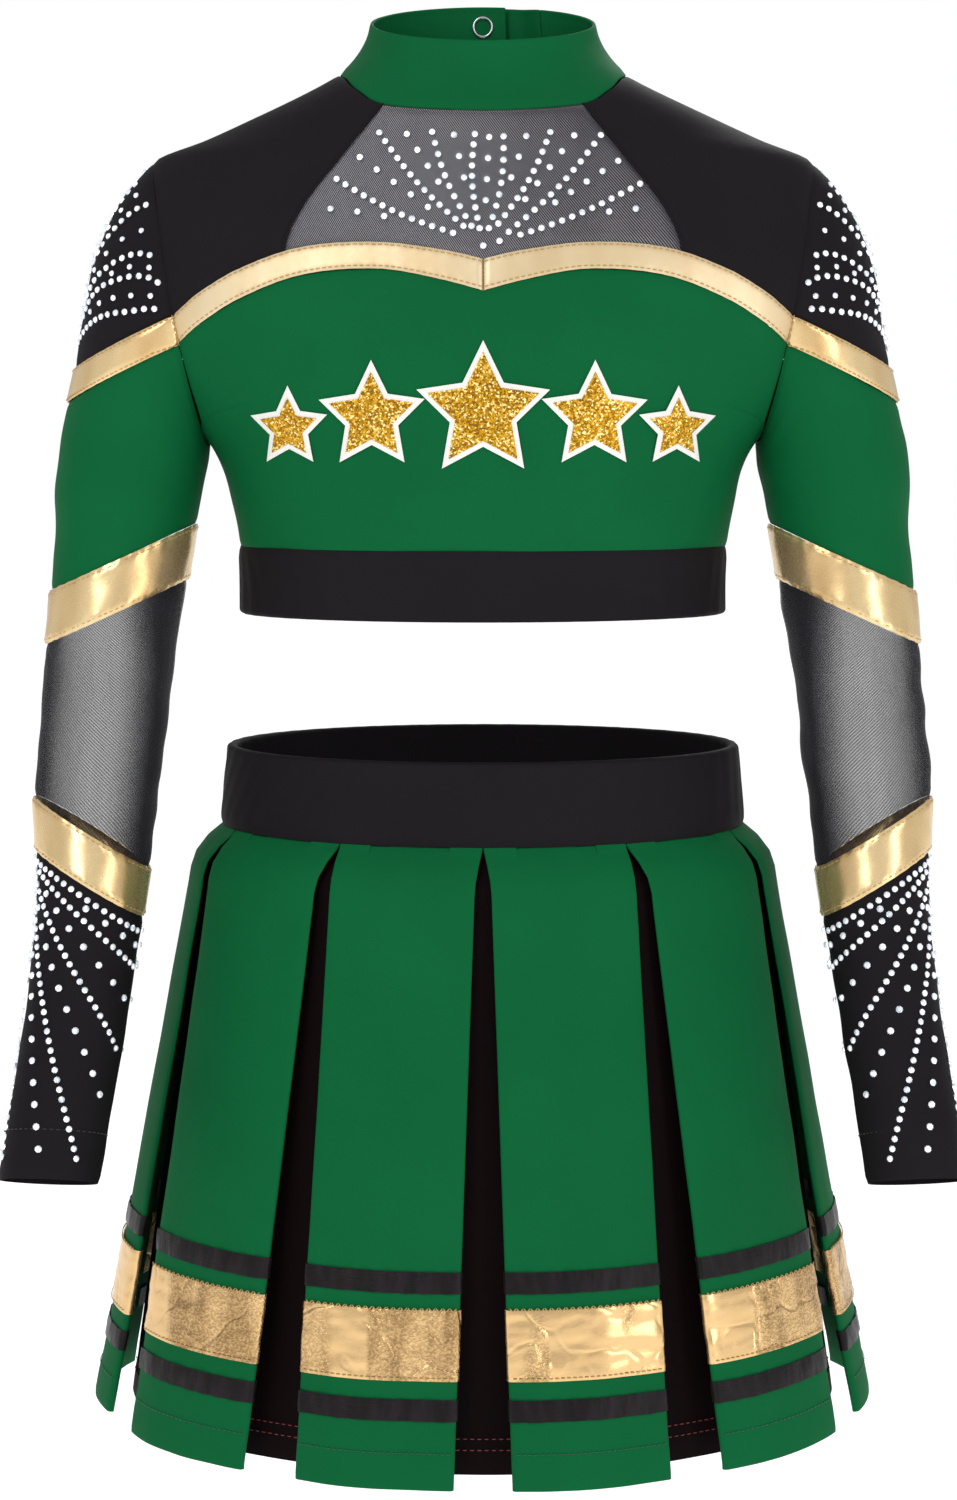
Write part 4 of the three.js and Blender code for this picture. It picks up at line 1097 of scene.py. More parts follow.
def knit_relief(finish, wale=0.0009, course=0.0007):
    """Rows of small V stitches, as on a fine stretch jersey."""
    column = (finish.across * (1 / wale)).fraction()
    leg = (column - 0.5).absolute()
    rows = ((finish.down * (1 / course) + leg * 1.1) * (2 * math.pi)).sine() * 0.5 + 0.5
    return rows * (leg * 6.28).sine().absolute()


def stretch_knit(name, colour, shade, sheen=0.04, roughness=0.62):
    """Dense stretch jersey: fine V stitches, a soft sheen, slightly uneven dyeing, and the hollows between the
    stitches painted darker as shade.
    """
    finish = Finish(name)
    loops = knit_relief(finish)
    broad = finish.noise(0.045, 3.0)
    fine = finish.noise(0.004, 3.0)
    # partly uneven dye from broad noise, partly painted shade: the loops darken the colour in the hollows between
    # stitches
    dye_and_stitch_shade = finish.mix(broad.between(0.25, 0.75) * 0.25 + loops * 0.3 + 0.45, shade, colour)
    normal = finish.bump(loops * 0.6 + fine * 0.5, 0.00012, 0.5)
    return finish.set(
        Base_Color=dye_and_stitch_shade,
        Roughness=fine * 0.12 + (roughness - 0.06),
        Normal=normal,
        Sheen_Weight=sheen,
        Sheen_Roughness=0.45,
        Sheen_Tint=colour,
        Specular_IOR_Level=0.05,
    )


def foil_cloth(name, colour, shade, roughness, metallic, crinkle=0.0):
    """Foil-coated jersey, smooth or crinkled in patches where crinkle is set; its base colour is painted in soft light
    and dark streaks as painted highlights and shade.
    """
    finish = Finish(name)
    streaks = finish.noise(0.03, 2.0, 0.5, finish.cloth_map, (1, 0.3, 1))
    small = finish.noise(0.0022, 3.0, 0.6)
    dots = Tone(finish, finish.cells(0.0008).outputs["Distance"])
    normal = finish.bump(small * 0.6 + dots * 0.4, 0.00007, 0.5)
    # painted highlight and shade: the streaks blend the base colour between the bright colour and the shade colour
    tone = streaks.between(0.3, 0.7) * 0.6 + 0.4
    if crinkle:
        patches = finish.noise(0.04, 1.0, 0.4, stretch=(1, 1, 0.12)).between(0.48, 0.52)
        creases = (finish.noise(0.026, 1.5, 0.55) - 0.5).absolute().between(0.0, 0.04)
        grain = finish.noise(0.0013, 2.0, 0.6)
        shimmer = finish.noise(0.011, 1.0, 0.5, stretch=(1, 1, 0.2)).between(0.35, 0.65)
        relief = creases * (patches * 0.35 + 0.15) + grain * patches * 0.45
        normal = finish.bump(relief, 0.001, crinkle, normal)
        # painted highlight and shade: smooth patches are painted near the bright colour and crinkled ones darker, with
        # painted bright specks from the grain and painted shimmer streaks
        tone = (0.95 - patches * 0.75) + patches * (grain.between(0.36, 0.7) * 0.45 + shimmer * 0.4)
    return finish.set(
        Base_Color=finish.mix(tone, shade, colour),
        Metallic=metallic,
        Roughness=small * 0.16 + (roughness - 0.08),
        Normal=normal,
        Sheen_Weight=0.0,
    )


def sheer_net(name, colour, cover, closing=0.0, girth=1.0, contrast=0.5):
    """Fine power net: close slanted threads held by finer crossing ones, with open holes between.

    Round a sleeve the net is made denser along the two sides of the arm, as painted shade.
    """
    finish = Finish(name)
    pitch = 0.00105
    slant = ((finish.across + finish.down * 0.7) * (math.pi / pitch)).sine().absolute()
    counter = ((finish.across - finish.down * 1.3) * (math.pi / pitch)).sine().absolute()
    threads = slant * 0.85 + counter * 0.15
    # painted shade: sides peaks along the two sides of the sleeve, where closing thickens the net
    sides = (finish.across * (4 * math.pi / girth) + math.pi / 2).sine() * 0.5 + 0.5
    streaks = finish.noise(0.012, 2.0, vector=finish.cloth_map, stretch=(1, 0.05, 1))
    cloudy = finish.noise(0.03, 2.0)
    # painted shade along the sleeve's sides, plus streaks and clouds in the net's density
    density_and_side_shade = (sides ** 2) * closing + streaks * 0.12 + cloudy * 0.06
    return finish.set(
        Base_Color=finish.mix(threads * 0.7 + cloudy * 0.3, darker(colour, 0.6), colour),
        Roughness=cloudy * 0.1 + 0.6,
        Alpha=(threads - 0.6) * contrast + density_and_side_shade + (cover - 0.09),
        Normal=finish.bump(slant, 0.0002, 0.4),
        Sheen_Weight=0.05,
        Specular_IOR_Level=0.15,
    )


def glitter_film(name, colour, shade):
    """Pressed glitter: small flakes that tilt every way, some of them painted bright as glints, and the whole film
    given a faint painted glow.
    """
    finish = Finish(name)
    flakes = finish.chance(0.00075)
    # painted glints: the brightest flakes take a pale highlight colour in their base colour
    glint = flakes.between(0.72, 0.98)
    tint = finish.mix(flakes.between(0.1, 0.8), shade, colour)
    bright = finish.mix(glint, tint, linear(255, 236, 160))
    return finish.set(
        Base_Color=bright,
        Metallic=0.75,
        Roughness=flakes * 0.3 + 0.22,
        Normal=finish.bump(flakes, 0.0006, 0.9),
        # painted glow: the glitter emits a little light of its own
        Emission_Color=bright,
        Emission_Strength=0.12,
    )


def satin(name, colour, shade):
    """Satin ribbon: close lengthwise threads, puckers across it and a soft gloss, the pucker hollows painted darker as
    shade.
    """
    finish = Finish(name)
    threads = finish.noise(0.0012, 2.0, vector=finish.cloth_map, stretch=(0.12, 3, 1))
    puckers = finish.noise(0.006, 2.0, vector=finish.cloth_map, stretch=(1, 0.25, 1))
    return finish.set(
        # painted shade: the base colour follows the pucker bump and is darker in its hollows; the lengthwise threads
        # add the ribbon's own tone
        Base_Color=finish.mix(puckers.between(0.35, 0.7) * 0.7 + threads * 0.3, shade, colour),
        Roughness=threads * 0.15 + 0.26,
        Normal=finish.bump(puckers * 0.8 + threads * 0.2, 0.0013, 0.7),
        Sheen_Weight=0.02,
        Specular_IOR_Level=0.15,
    )


def thread_finish(name, colour):
    finish = Finish(name)
    twist = finish.noise(0.0006, 2.0)
    return finish.set(
        Base_Color=finish.mix(twist, darker(colour, 0.7), colour),
        Roughness=twist * 0.2 + 0.4,
        Normal=finish.bump(twist, 0.0002, 0.4),
        Sheen_Weight=0.2,
    )


def ribbed_elastic(name):
    finish = Finish(name)
    ribs = (finish.down * (2 * math.pi / 0.0028)).sine() * 0.5 + 0.5
    threads = (finish.across * (2 * math.pi / 0.0009)).sine() * 0.5 + 0.5
    return finish.set(
        # partly painted shade: the colour follows the rib bump and is greyer in the hollows between ribs
        Base_Color=finish.mix(ribs * 0.7 + threads * 0.3, linear(196, 194, 188), linear(236, 234, 228)),
        Roughness=threads * 0.1 + 0.8,
        Normal=finish.bump(ribs * 0.7 + threads * 0.3, 0.0005, 0.7),
    )


def snap_steel(name):
    finish = Finish(name)
    scratches = finish.noise(0.002, 4.0, stretch=(1, 1, 6))
    return finish.set(
        Base_Color=finish.mix(scratches, linear(176, 178, 180), linear(226, 228, 230)),
        Metallic=1.0,
        Roughness=scratches * 0.2 + 0.12,
        Normal=finish.bump(scratches, 0.0001, 0.2),
    )


def cut_crystal(name):
    """Foil-backed glass: each stone a little different in tint, and given a painted glow so that it looks bright from
    any side.
    """
    finish = Finish(name)
    tint = finish.chance(0.004)
    colour = finish.mix(tint, linear(214, 222, 236), linear(255, 255, 255))
    return finish.set(
        Base_Color=colour,
        Metallic=0.55,
        Roughness=tint * 0.1 + 0.06,
        # painted glow: the stones emit light of their own, standing in for sparkle
        Emission_Color=colour,
        Emission_Strength=0.35,
        Coat_Weight=0.6,
    )


GREEN = linear(9, 97, 54)
GREEN_SHADE = linear(6, 82, 42)
finishes = {
    "green_knit": stretch_knit("green_knit", GREEN, GREEN_SHADE),
    "black_knit": stretch_knit("black_knit", linear(31, 28, 31), linear(22, 20, 22)),
    "inset_knit": stretch_knit("inset_knit", linear(17, 6, 8), linear(9, 3, 4), 0.0),
    # each foil is given a bright colour as its painted highlight and a shade colour as its painted shade
    "binding_foil": foil_cloth(
        "binding_foil", linear(225, 204, 166), linear(202, 172, 124), roughness=0.42, metallic=0.45
    ),
    "strip_foil": foil_cloth(
        "strip_foil", linear(238, 210, 158), linear(190, 146, 86), roughness=0.27, metallic=0.72
    ),
    "skirt_foil": foil_cloth(
        "skirt_foil", linear(232, 194, 138), linear(132, 98, 58), roughness=0.24, metallic=0.85, crinkle=1.0
    ),
    "yoke_net": sheer_net("yoke_net", linear(62, 60, 66), 0.33, contrast=1.9),
    # the sleeve net's 0.6 is its closing, the strength of its painted side shade
    "sleeve_net": sheer_net("sleeve_net", linear(38, 36, 42), 0.27, 0.6, 0.17),
    "net_lining": stretch_knit("net_lining", linear(232, 231, 236), linear(220, 219, 226), 0.0),
    "glitter": glitter_film("glitter", linear(216, 162, 22), linear(140, 94, 8)),
    "white_film": stretch_knit("white_film", linear(240, 239, 234), linear(226, 224, 218), 0.0),
    "satin": satin("satin", linear(30, 23, 28), linear(9, 6, 8)),
    "gold_thread": thread_finish("gold_thread", linear(196, 158, 92)),
    "bronze_thread": thread_finish("bronze_thread", linear(132, 92, 44)),
    "green_thread": thread_finish("green_thread", linear(7, 80, 42)),
    "black_thread": thread_finish("black_thread", linear(16, 14, 16)),
    "red_thread": thread_finish("red_thread", linear(132, 26, 34)),
    "elastic": ribbed_elastic("elastic"),
    "snap_metal": snap_steel("snap_metal"),
    "crystal": cut_crystal("crystal"),
}


def dress(piece, finish, body, slot=None, replaces=()):
    """Gives a finished piece its look, the body it rides on and the solids it stands for."""
    piece.data.materials.clear()
    piece.data.materials.append(finishes[finish])
    if isinstance(body, str):
        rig.ride(piece, body)
    else:
        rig.blend(piece, body["from"], body["to"], start=body["start"], end=body["end"])
    if slot:
        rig.slot(piece, slot)
    if replaces:
        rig.replaces(piece, *([replaces] if isinstance(replaces, str) else replaces))
    return piece


# ---- small shapes that repeat -----------------------------------------------------------------
STITCH_LENGTH = 1.9
STITCH_WIDTH = 0.5
STONE_RADIUS = 1.45
STONE_GIRDLE = 0.5
STONE_CROWN = 0.7
STONE_TABLE = 0.56


def make_stitch():
    """One stitch of thread: a small rod with drawn-in ends, along X."""
    bpy.ops.object.select_all(action="DESELECT")
    bpy.ops.mesh.primitive_cylinder_add(
        vertices=6,
        radius=STITCH_WIDTH / 2 * MM,
        depth=STITCH_LENGTH * 0.6 * MM,
        rotation=(0, math.pi / 2, 0),
    )
    rod = bpy.context.object
    bpy.ops.object.transform_apply(location=True, rotation=True, scale=True)
    bpy.ops.object.mode_set(mode="EDIT")
    for side in (-1, 1):
        bpy.ops.mesh.select_all(action="DESELECT")
        shape = bmesh.from_edit_mesh(rod.data)
        for face in shape.faces:
            face.select_set(face.normal.x * side > 0.9)
        bmesh.update_edit_mesh(rod.data)
        shift = (side * STITCH_LENGTH * 0.2 * MM, 0, -STITCH_WIDTH * 0.3 * MM)
        bpy.ops.mesh.extrude_region_move(TRANSFORM_OT_translate={"value": shift})
        bpy.ops.transform.resize(value=(1, 0.4, 0.4))
    bpy.ops.object.mode_set(mode="OBJECT")
    return rod


def make_stone():
    """One round stone: a low girdle, eight crown facets and a table, facing +Z."""
    bpy.ops.object.select_all(action="DESELECT")
    bpy.ops.mesh.primitive_cylinder_add(
        vertices=8,
        radius=STONE_RADIUS * MM,
        depth=STONE_GIRDLE * MM,
        location=(0, 0, STONE_GIRDLE / 2 * MM),
    )
    stone = bpy.context.object
    bpy.ops.object.transform_apply(location=True, rotation=True, scale=True)
    bpy.ops.object.mode_set(mode="EDIT")
    bpy.ops.mesh.select_all(action="DESELECT")
    shape = bmesh.from_edit_mesh(stone.data)
    for face in shape.faces:
        face.select_set(face.normal.z > 0.9)
    bmesh.update_edit_mesh(stone.data)
    bpy.ops.mesh.extrude_region_move(TRANSFORM_OT_translate={"value": (0, 0, STONE_CROWN * MM)})
    bpy.ops.transform.resize(value=(STONE_TABLE, STONE_TABLE, 1))
    bpy.ops.object.mode_set(mode="OBJECT")
    return stone


stitch = make_stitch()
stone = make_stone()


def sew(name, places, thread, body, slope=0.0):
    """A row of stitches; slope turns each one from the row, to alternate sides, for a zigzag."""
    frames = []
    for k, (point, outward, along) in enumerate(places):
        turn = slope if k % 2 else -slope
        frames.append(seat(point, outward, along) @ Matrix.Rotation(turn, 4, "Z"))
    return dress(stamp(name, stitch.data, frames), thread, body)


def set_stones(name, places, body):
    """Stones seated on cloth, each turned and tilted a little by chance."""
    chance = random.Random(name)
    frames = []
    for point, outward, scale in places:
        tilt = Vector([chance.uniform(-0.13, 0.13) for _ in range(3)])
        along = Vector((chance.uniform(-1, 1), chance.uniform(-0.2, 0.2), chance.uniform(-1, 1)))
        frames.append(seat(point, (outward + tilt).normalized(), along) @ Matrix.Scale(scale, 4))
    return dress(stamp(name, stone.data, frames), "crystal", body)


# ---- top: body --------------------------------------------------------------------------------
def knit_drape(spot):
    """Cloth that lies smooth but not flat, drawn in at its seams."""
    edges = min(spot.left, spot.right, spot.top, spot.bottom)
    return pinch(edges) + ripple(spot.point, 38, 0.7)


def strip_drape(height, pucker, mitre=0.0):
    """A strip sewn on flat: proud in the middle, its edges drawn in by the stitches in puckers."""

    def relief(spot):
        edge = min(spot.top, spot.bottom)
        wave = math.sin(spot.left * 0.9 + 2 * noise.noise(spot.point / 9))
        gathers = wave * (1 - smoothstep(edge, 0, 5))
        proud = height * smoothstep(edge, -1.2, 2.2) + pucker * gathers + ripple(spot.point, 12, pucker)
        return proud + pinch(min(spot.left, spot.right), mitre, 1.6)

    return relief


def make_yoke():
    seam = raglan_seam(False)
    neck_angle = seam(0)[0]

    def bottom(u):
        x = lerp(-YOKE_HALF_WIDTH_AT_BINDING, YOKE_HALF_WIDTH_AT_BINDING, u)
        return torso_at(x, binding_top(abs(x)))

    def top(u):
        return neckline(lerp(-neck_angle, neck_angle, u))

    patch = coons(top, bottom, mirrored(seam), seam)
    net = sheet("yoke_net", torso, patch, 56, 36, knit_drape, NET)
    dress(net, "yoke_net", "top", "sheer_net", "mesh_yoke")

    def behind(spot):
        return knit_drape(spot) - LINING_BEHIND

    lining = sheet("yoke_lining", torso, patch, 56, 36, behind, NET)
    dress(lining, "net_lining", "top", "sheer_net")
    declare(net, "stretched", "yoke_lining")
    declare(lining, "stretched")
    tape = ruled(seam, lambda v: (seam(v)[0] - SEAM_TAPE / CHEST_HALF_WIDTH, seam(v)[1]))
    for name, side in (("left", 1), ("right", -1)):
        allowance = f"yoke_seam_allowance_{name}"
        piece = sheet(allowance, torso, tape, 40, 2, lambda spot: 0.15, NET, side=side)
        dress(piece, "black_knit", "top", "black_knit")


def make_shoulders():
    front_seam, back_seam = raglan_seam(False), raglan_seam(True)
    front_z, back_z = front_yoke_edge(1)[1], back_yoke_edge(1)[1]

    def armhole_edge(u):
        back = u > 0.5
        share = (1 - u) * 2 if back else u * 2
        z = lerp(back_z if back else front_z, -SHOULDER_DROP, math.sin(share * math.pi / 2))
        return math.pi - armhole_angle(z) if back else armhole_angle(z), z

    def outer_edge(u):
        if u < SHOULDER_SEAM_SHARE:
            return front_seam(1 - u / SHOULDER_SEAM_SHARE)
        if u > 1 - SHOULDER_SEAM_SHARE:
            return back_seam(1 - (1 - u) / SHOULDER_SEAM_SHARE)
        share = (u - SHOULDER_SEAM_SHARE) / (1 - 2 * SHOULDER_SEAM_SHARE)
        return neckline(lerp(front_seam(0)[0], back_seam(0)[0], share))

    def low_edge(edge, end, top, back):
        first, last = torso_point(*edge(1)).x, torso_point(*end).x
        return lambda v: torso_at(lerp(first, last, v), top(lerp(first, last, v)), back)

    patch = coons(
        armhole_edge,
        outer_edge,
        low_edge(front_yoke_edge, front_seam(1), binding_top, False),
        low_edge(back_yoke_edge, back_seam(1), back_binding_top, True),
    )
    for name, side in (("left", 1), ("right", -1)):
        panel = sheet(f"shoulder_{name}", torso, patch, 72, 24, knit_drape, side=side)
        dress(panel, "black_knit", "top", "black_knit", f"shoulder_panel_{name}")
        declare(panel, "stretched")


def keyhole_outline(share, inset):
    """Keyhole from its round bottom (0) up one side to the neckline (1), drawn in by an inset."""
    round_z = -KEYHOLE_DEPTH + KEYHOLE_HALF_WIDTH
    if share < 0.5:
        radius = KEYHOLE_HALF_WIDTH - inset
        return radius * math.sin(share * math.pi), round_z - radius * math.cos(share * math.pi)
    z = lerp(round_z, NECK_BACK_RISE, share * 2 - 1)
    closing = smoothstep(z, round_z, NECK_BACK_RISE)
    return lerp(KEYHOLE_HALF_WIDTH, KEYHOLE_NECK_HALF_WIDTH, closing) - inset, z


def make_back_yoke():
    seam = raglan_seam(True)

    def centre_edge(v):
        if v < KEYHOLE_EDGE_SHARE:
            x, z = keyhole_outline(1 - v / KEYHOLE_EDGE_SHARE, 0)
            return torso_at(max(x, 0), z, True)
        share = (v - KEYHOLE_EDGE_SHARE) / (1 - KEYHOLE_EDGE_SHARE)
        return torso_at(0, lerp(-KEYHOLE_DEPTH, -BACK_BINDING_AT_CENTRE, share), True)

    def top(u):
        return neckline(lerp(seam(0)[0], centre_edge(0)[0], u))

    start = torso_point(*seam(1)).x

    def bottom(u):
        return torso_at(lerp(start, 0, u), back_binding_top(lerp(start, 0, u)), True)

    patch = coons(top, bottom, seam, centre_edge)
    for name, side in (("left", 1), ("right", -1)):
        panel = sheet(f"back_yoke_cloth_{name}", torso, patch, 24, 50, knit_drape, side=side)
        dress(panel, "black_knit", "top", "black_knit", f"back_yoke_{name}")
        declare(panel, "stretched")

    def keyhole_edge(inset):
        def at(u):
            x, z = keyhole_outline(abs(2 * u - 1), inset)
            return torso_at(-x if u < 0.5 else x, z, True)

        return at

    def rounded(spot):
        return 0.5 * math.sin(math.pi * spot.v)

    patch = ruled(keyhole_edge(-0.6), keyhole_edge(KEYHOLE_BINDING_WIDTH))
    trim = sheet("keyhole_trim", torso, patch, 72, 6, rounded, 1.4)
    dress(trim, "satin", "top", "black_knit", "keyhole_binding")


def make_bindings():
    patch = ruled(front_yoke_edge, front_bodice_top)
    mitred = strip_drape(0.9, 0.12, 1.1)
    for name, side in (("left", 1), ("right", -1)):
        strip = sheet(f"front_strip_{name}", torso, patch, 84, 8, mitred, side=side)
        dress(strip, "binding_foil", "top", "gold_foil", f"front_binding_{name}")
        declare(strip, "stretched", [f"shoulder_{name}"])
        for edge, share in (("upper", 0.1), ("lower", 0.9)):
            places = along_line(torso, lambda u: patch(u, share), 1.0, STITCH_PITCH, side)
            sew(f"front_strip_stitches_{edge}_{name}", places, "gold_thread", "top")
    join = along_line(torso, lambda v: (0, binding_top(0) - v * BINDING_WIDTH), 0.25, JOIN_PITCH)
    sew("front_strip_join", join, "bronze_thread", "top")

    def across(line):
        def at(u):
            angle, z = line(abs(2 * u - 1))
            return (2 * math.pi - angle if u < 0.5 else angle), z

        return at

    back = ruled(across(back_yoke_edge), across(back_bodice_top))
    strip = sheet("back_strip", torso, back, 150, 8, strip_drape(0.9, 0.12))
    dress(strip, "binding_foil", "top", "gold_foil", "back_binding")
    declare(strip, "stretched")
    for edge, share in (("upper", 0.1), ("lower", 0.9)):
        places = along_line(torso, lambda u: back(u, share), 1.0, STITCH_PITCH)
        sew(f"back_strip_stitches_{edge}", places, "gold_thread", "top")


def bodice_drape(spot):
    """The bodice bridges softly from bust to band, with faint folds from the armpits."""
    side = min(spot.left, spot.right)
    low = smoothstep(spot.top, 20, 90)
    fold = math.sin((spot.left - spot.right) * 0.045 + spot.top * 0.05) * 0.35 * low
    return pinch(min(side, spot.top, spot.bottom)) + ripple(spot.point, 45, 0.8) + fold


def make_bodice():
    def side_edge(line, back):
        def at(v):
            z = lerp(line(1)[1], BAND_TOP, v)
            angle = armhole_angle(z)
            return (math.pi - angle if back else angle), z

        return at

    def widthwise(line):
        def at(u):
            angle, z = line(abs(2 * u - 1))
            return (-angle if u < 0.5 else angle), z

        return at

    front_side = side_edge(front_bodice_top, False)
    front = coons(
        widthwise(front_bodice_top),
        lambda u: (lerp(-1, 1, u) * math.pi / 2, BAND_TOP),
        mirrored(front_side),
        front_side,
    )
    piece = sheet("bodice_front", torso, front, 120, 44, bodice_drape)
    dress(piece, "green_knit", "top", "green_knit", "front_bodice")
    declare(piece, "stretched")

    def back_edge(u):
        angle, z = back_bodice_top(abs(2 * u - 1))
        return (2 * math.pi - angle if u < 0.5 else angle), z

    back_side = side_edge(back_bodice_top, True)
    back = coons(
        back_edge,
        lambda u: (lerp(1.5, 0.5, u) * math.pi, BAND_TOP),
        lambda v: (2 * math.pi - back_side(v)[0], back_side(v)[1]),
        back_side,
    )
    piece = sheet("bodice_back", torso, back, 110, 44, bodice_drape)
    dress(piece, "green_knit", "top", "green_knit", "back_bodice")
    declare(piece, "stretched")


def folded_band(name, surface, open_z, fold_z, finish, body, node):
    """A band folded round its elastic: down one face, round the fold and up inside."""
    away = math.copysign(1, open_z - fold_z)
    face = abs(open_z - fold_z) - BAND_FOLD
    turn = math.pi * BAND_FOLD
    total = 2 * face + turn

    def section(v):
        run = v * total
        if run < face:
            return 0, open_z - away * run
        if run < face + turn:
            swing = (run - face) / BAND_FOLD
            height = fold_z + away * BAND_FOLD * (1 - math.sin(swing))
            return -BAND_FOLD * (1 - math.cos(swing)), height
        return -2 * BAND_FOLD, fold_z + away * (BAND_FOLD + run - face - turn)

    def relief(spot):
        stand = section(spot.v)[0]
        crown = 0.5 * smoothstep(spot.top, 0, 6) * (1 if stand > -BAND_FOLD else 0.0)
        gathers = 0.22 * math.sin(spot.left * 0.55 + 3 * noise.noise(spot.point / 30))
        sewn = 0.7 * (1 - smoothstep(spot.top, 0, 2.5))
        return stand + crown + gathers * smoothstep(spot.top, 0, 8) - sewn

    def patch(u, v):
        return 2 * math.pi * u, section(v)[1]

    rows = [k / 16 * face / total for k in range(16)]
    rows += [(face + k / 10 * turn) / total for k in range(10)]
    rows += [(face + turn + k / 8 * face) / total for k in range(9)]
    band = sheet(name, surface, patch, 168, rows, relief, loop=True)
    dress(band, finish, body, "black_knit", node)
    declare(band, "stretched")


def elastic_loop(name, surface, low, high, body, node):
    def patch(u, v):
        return 2 * math.pi * u, lerp(high, low, v)

    loop = sheet(name, surface, patch, 120, 6, lambda spot: -BAND_FOLD + 0.4, loop=True)
    dress(loop, "elastic", body, "elastic", node)
    declare(loop, "stretched")


def make_underbust_band():
    folded_band("band_cloth", torso, BAND_TOP, BAND_BOTTOM, "black_knit", "top", "underbust_band")
    elastic_loop("band_elastic", torso, BAND_BOTTOM + 2.5, BAND_TOP - 4, "top", "underbust_elastic")


# ---- stars ------------------------------------------------------------------------------------
def star_reach(angle):
    """Distance from a five-pointed star's centre to its edge, at an angle from its top point."""
    arm = 2 * math.pi / 5
    from_tip = arm / 2 - abs(angle % arm - arm / 2)
    notch_x = STAR_INNER_SHARE * math.cos(arm / 2)
    notch_y = STAR_INNER_SHARE * math.sin(arm / 2)
    edge_x, edge_y = notch_x - 1, notch_y
    return edge_y / (math.cos(from_tip) * edge_y - math.sin(from_tip) * edge_x)


def star_turns():
    """Angles round a star, close together next to its tips and notches."""
    turns = []
    for k in range(10):
        turns += [(k + part) / 10 for part in (0, 0.03, 0.12, 0.3, 0.5, 0.7, 0.88, 0.97)]
    return turns + [1.0]


STAR_ROWS = [0.0, 0.3, 0.6, 0.85, 0.95, 1.0]
STAR_FILM = 0.5


def make_stars():
    for place, radius in STAR_RADII.items():
        node = f"star_{place}"
        (x0, _, z0), (x1, _, z1) = lowest(node), highest(node)
        centre_x = (x0 + x1) / 2
        centre_z = z1 - radius
        layers = {
            "outline": ("white_film", None, STAR_OUTLINE, 1.0, ()),
            "film": ("glitter", "glitter", -STAR_INSET, 1.55, node),
        }
        for layer, (finish, slot, grow, stand, nodes) in layers.items():
            size = radius + grow * 1.35

            def patch(u, v):
                angle = 2 * math.pi * u
                reach = v * (size * star_reach(angle))
                return torso_at(centre_x + reach * math.sin(angle), centre_z + reach * math.cos(angle))

            def relief(spot):
                return stand + ripple(spot.point, 45, 0.8) - 0.25 * smoothstep(spot.v, 0.9, 1)

            name = f"{node}_{layer}"
            piece = sheet(name, torso, patch, star_turns(), STAR_ROWS, relief, STAR_FILM, True)
            dress(piece, finish, "top", slot, nodes)


# ---- collar and snap --------------------------------------------------------------------------
def collar_drape(spot):
    rolled = 0.5 * smoothstep(spot.top, 0, 2) - 0.5
    return pinch(spot.bottom, 0.9, 4) + ripple(spot.point, 26, 0.5) + rolled


def make_collar():
    def wrap(start, end, base):
        return lambda u, v: (lerp(start, end, u), lerp(1, base, v))

    body = wrap(-underlap_end, TAB_START, COLLAR_BASE)
    piece = sheet("collar_cloth", collar_surface, body, 130, 16, collar_drape, DOUBLE_CLOTH, edge=0.6)
    dress(piece, "green_knit", "top", "green_knit", "collar")
    declare(piece, "stretched")
    tab = wrap(TAB_START, underlap_end, COLLAR_BASE * 3)
    piece = sheet("collar_tab_cloth", tab_surface, tab, 36, 16, collar_drape, DOUBLE_CLOTH, edge=0.6)
    start = collar_point(TAB_START, 0.5)
    end = collar_point(TAB_START + math.radians(8), 0.5)
    tab_blend = {"from": "top", "to": "collar_tab", "start": start * MM, "end": end * MM}
    dress(piece, "green_knit", tab_blend, "green_knit", "collar_tab")
    declare(piece, "stretched")


def make_snap():
    """Wire rings inside and outside the collar, around the snap's socket and stud."""
    outward = collar_surface.normal(math.pi, SNAP_HEIGHT)
    middle = collar_point(math.pi, SNAP_HEIGHT)
    wire = 0.65
    rings = {
        "snap_ring": (-DOUBLE_CLOTH - wire, "top"),
        "snap_cap": (TAB_STAND_OFF + wire, "collar_tab"),
    }
    for node, (stand, body) in rings.items():
        bpy.ops.object.select_all(action="DESELECT")
        bpy.ops.mesh.primitive_torus_add(
            major_segments=48,
            minor_segments=14,
            major_radius=(SNAP_RING_RADIUS - wire) * MM,
            minor_radius=wire * MM,
            location=(middle + outward * stand) * MM,
            rotation=outward.to_track_quat("Z", "Y").to_euler(),
        )
        ring = bpy.context.object
        ring.name = f"{node}_wire"
        bpy.ops.object.transform_apply(location=True, rotation=True, scale=True)
        bpy.ops.object.shade_smooth_by_angle(angle=math.radians(60))
        dress(ring, "snap_metal", body, "snap_metal", node)
    for node in ("snap_socket", "snap_stud"):
        cad = bpy.data.objects[node]
        cad.data.materials.clear()
        cad.data.materials.append(finishes["snap_metal"])


# ---- sleeves ----------------------------------------------------------------------------------
def sleeve_drape(spot):
    """Loose folds round the arm, deeper towards the armpit, drawn in at the seams."""
    edge = min(spot.top, spot.bottom)
    fold = noise.noise(Vector((spot.point.x / 60, spot.point.y / 40, spot.point.z / 22)))
    return pinch(edge) + 1.3 * fold * smoothstep(edge, 0, 18) + ripple(spot.point, 24, 0.4)


def net_drape(spot):
    edge = min(spot.top, spot.bottom)
    fold = noise.noise(Vector((spot.point.x / 30, spot.point.y / 30, spot.point.z / 16)))
    return pinch(edge) + 1.4 * fold * smoothstep(edge, 0, 14)


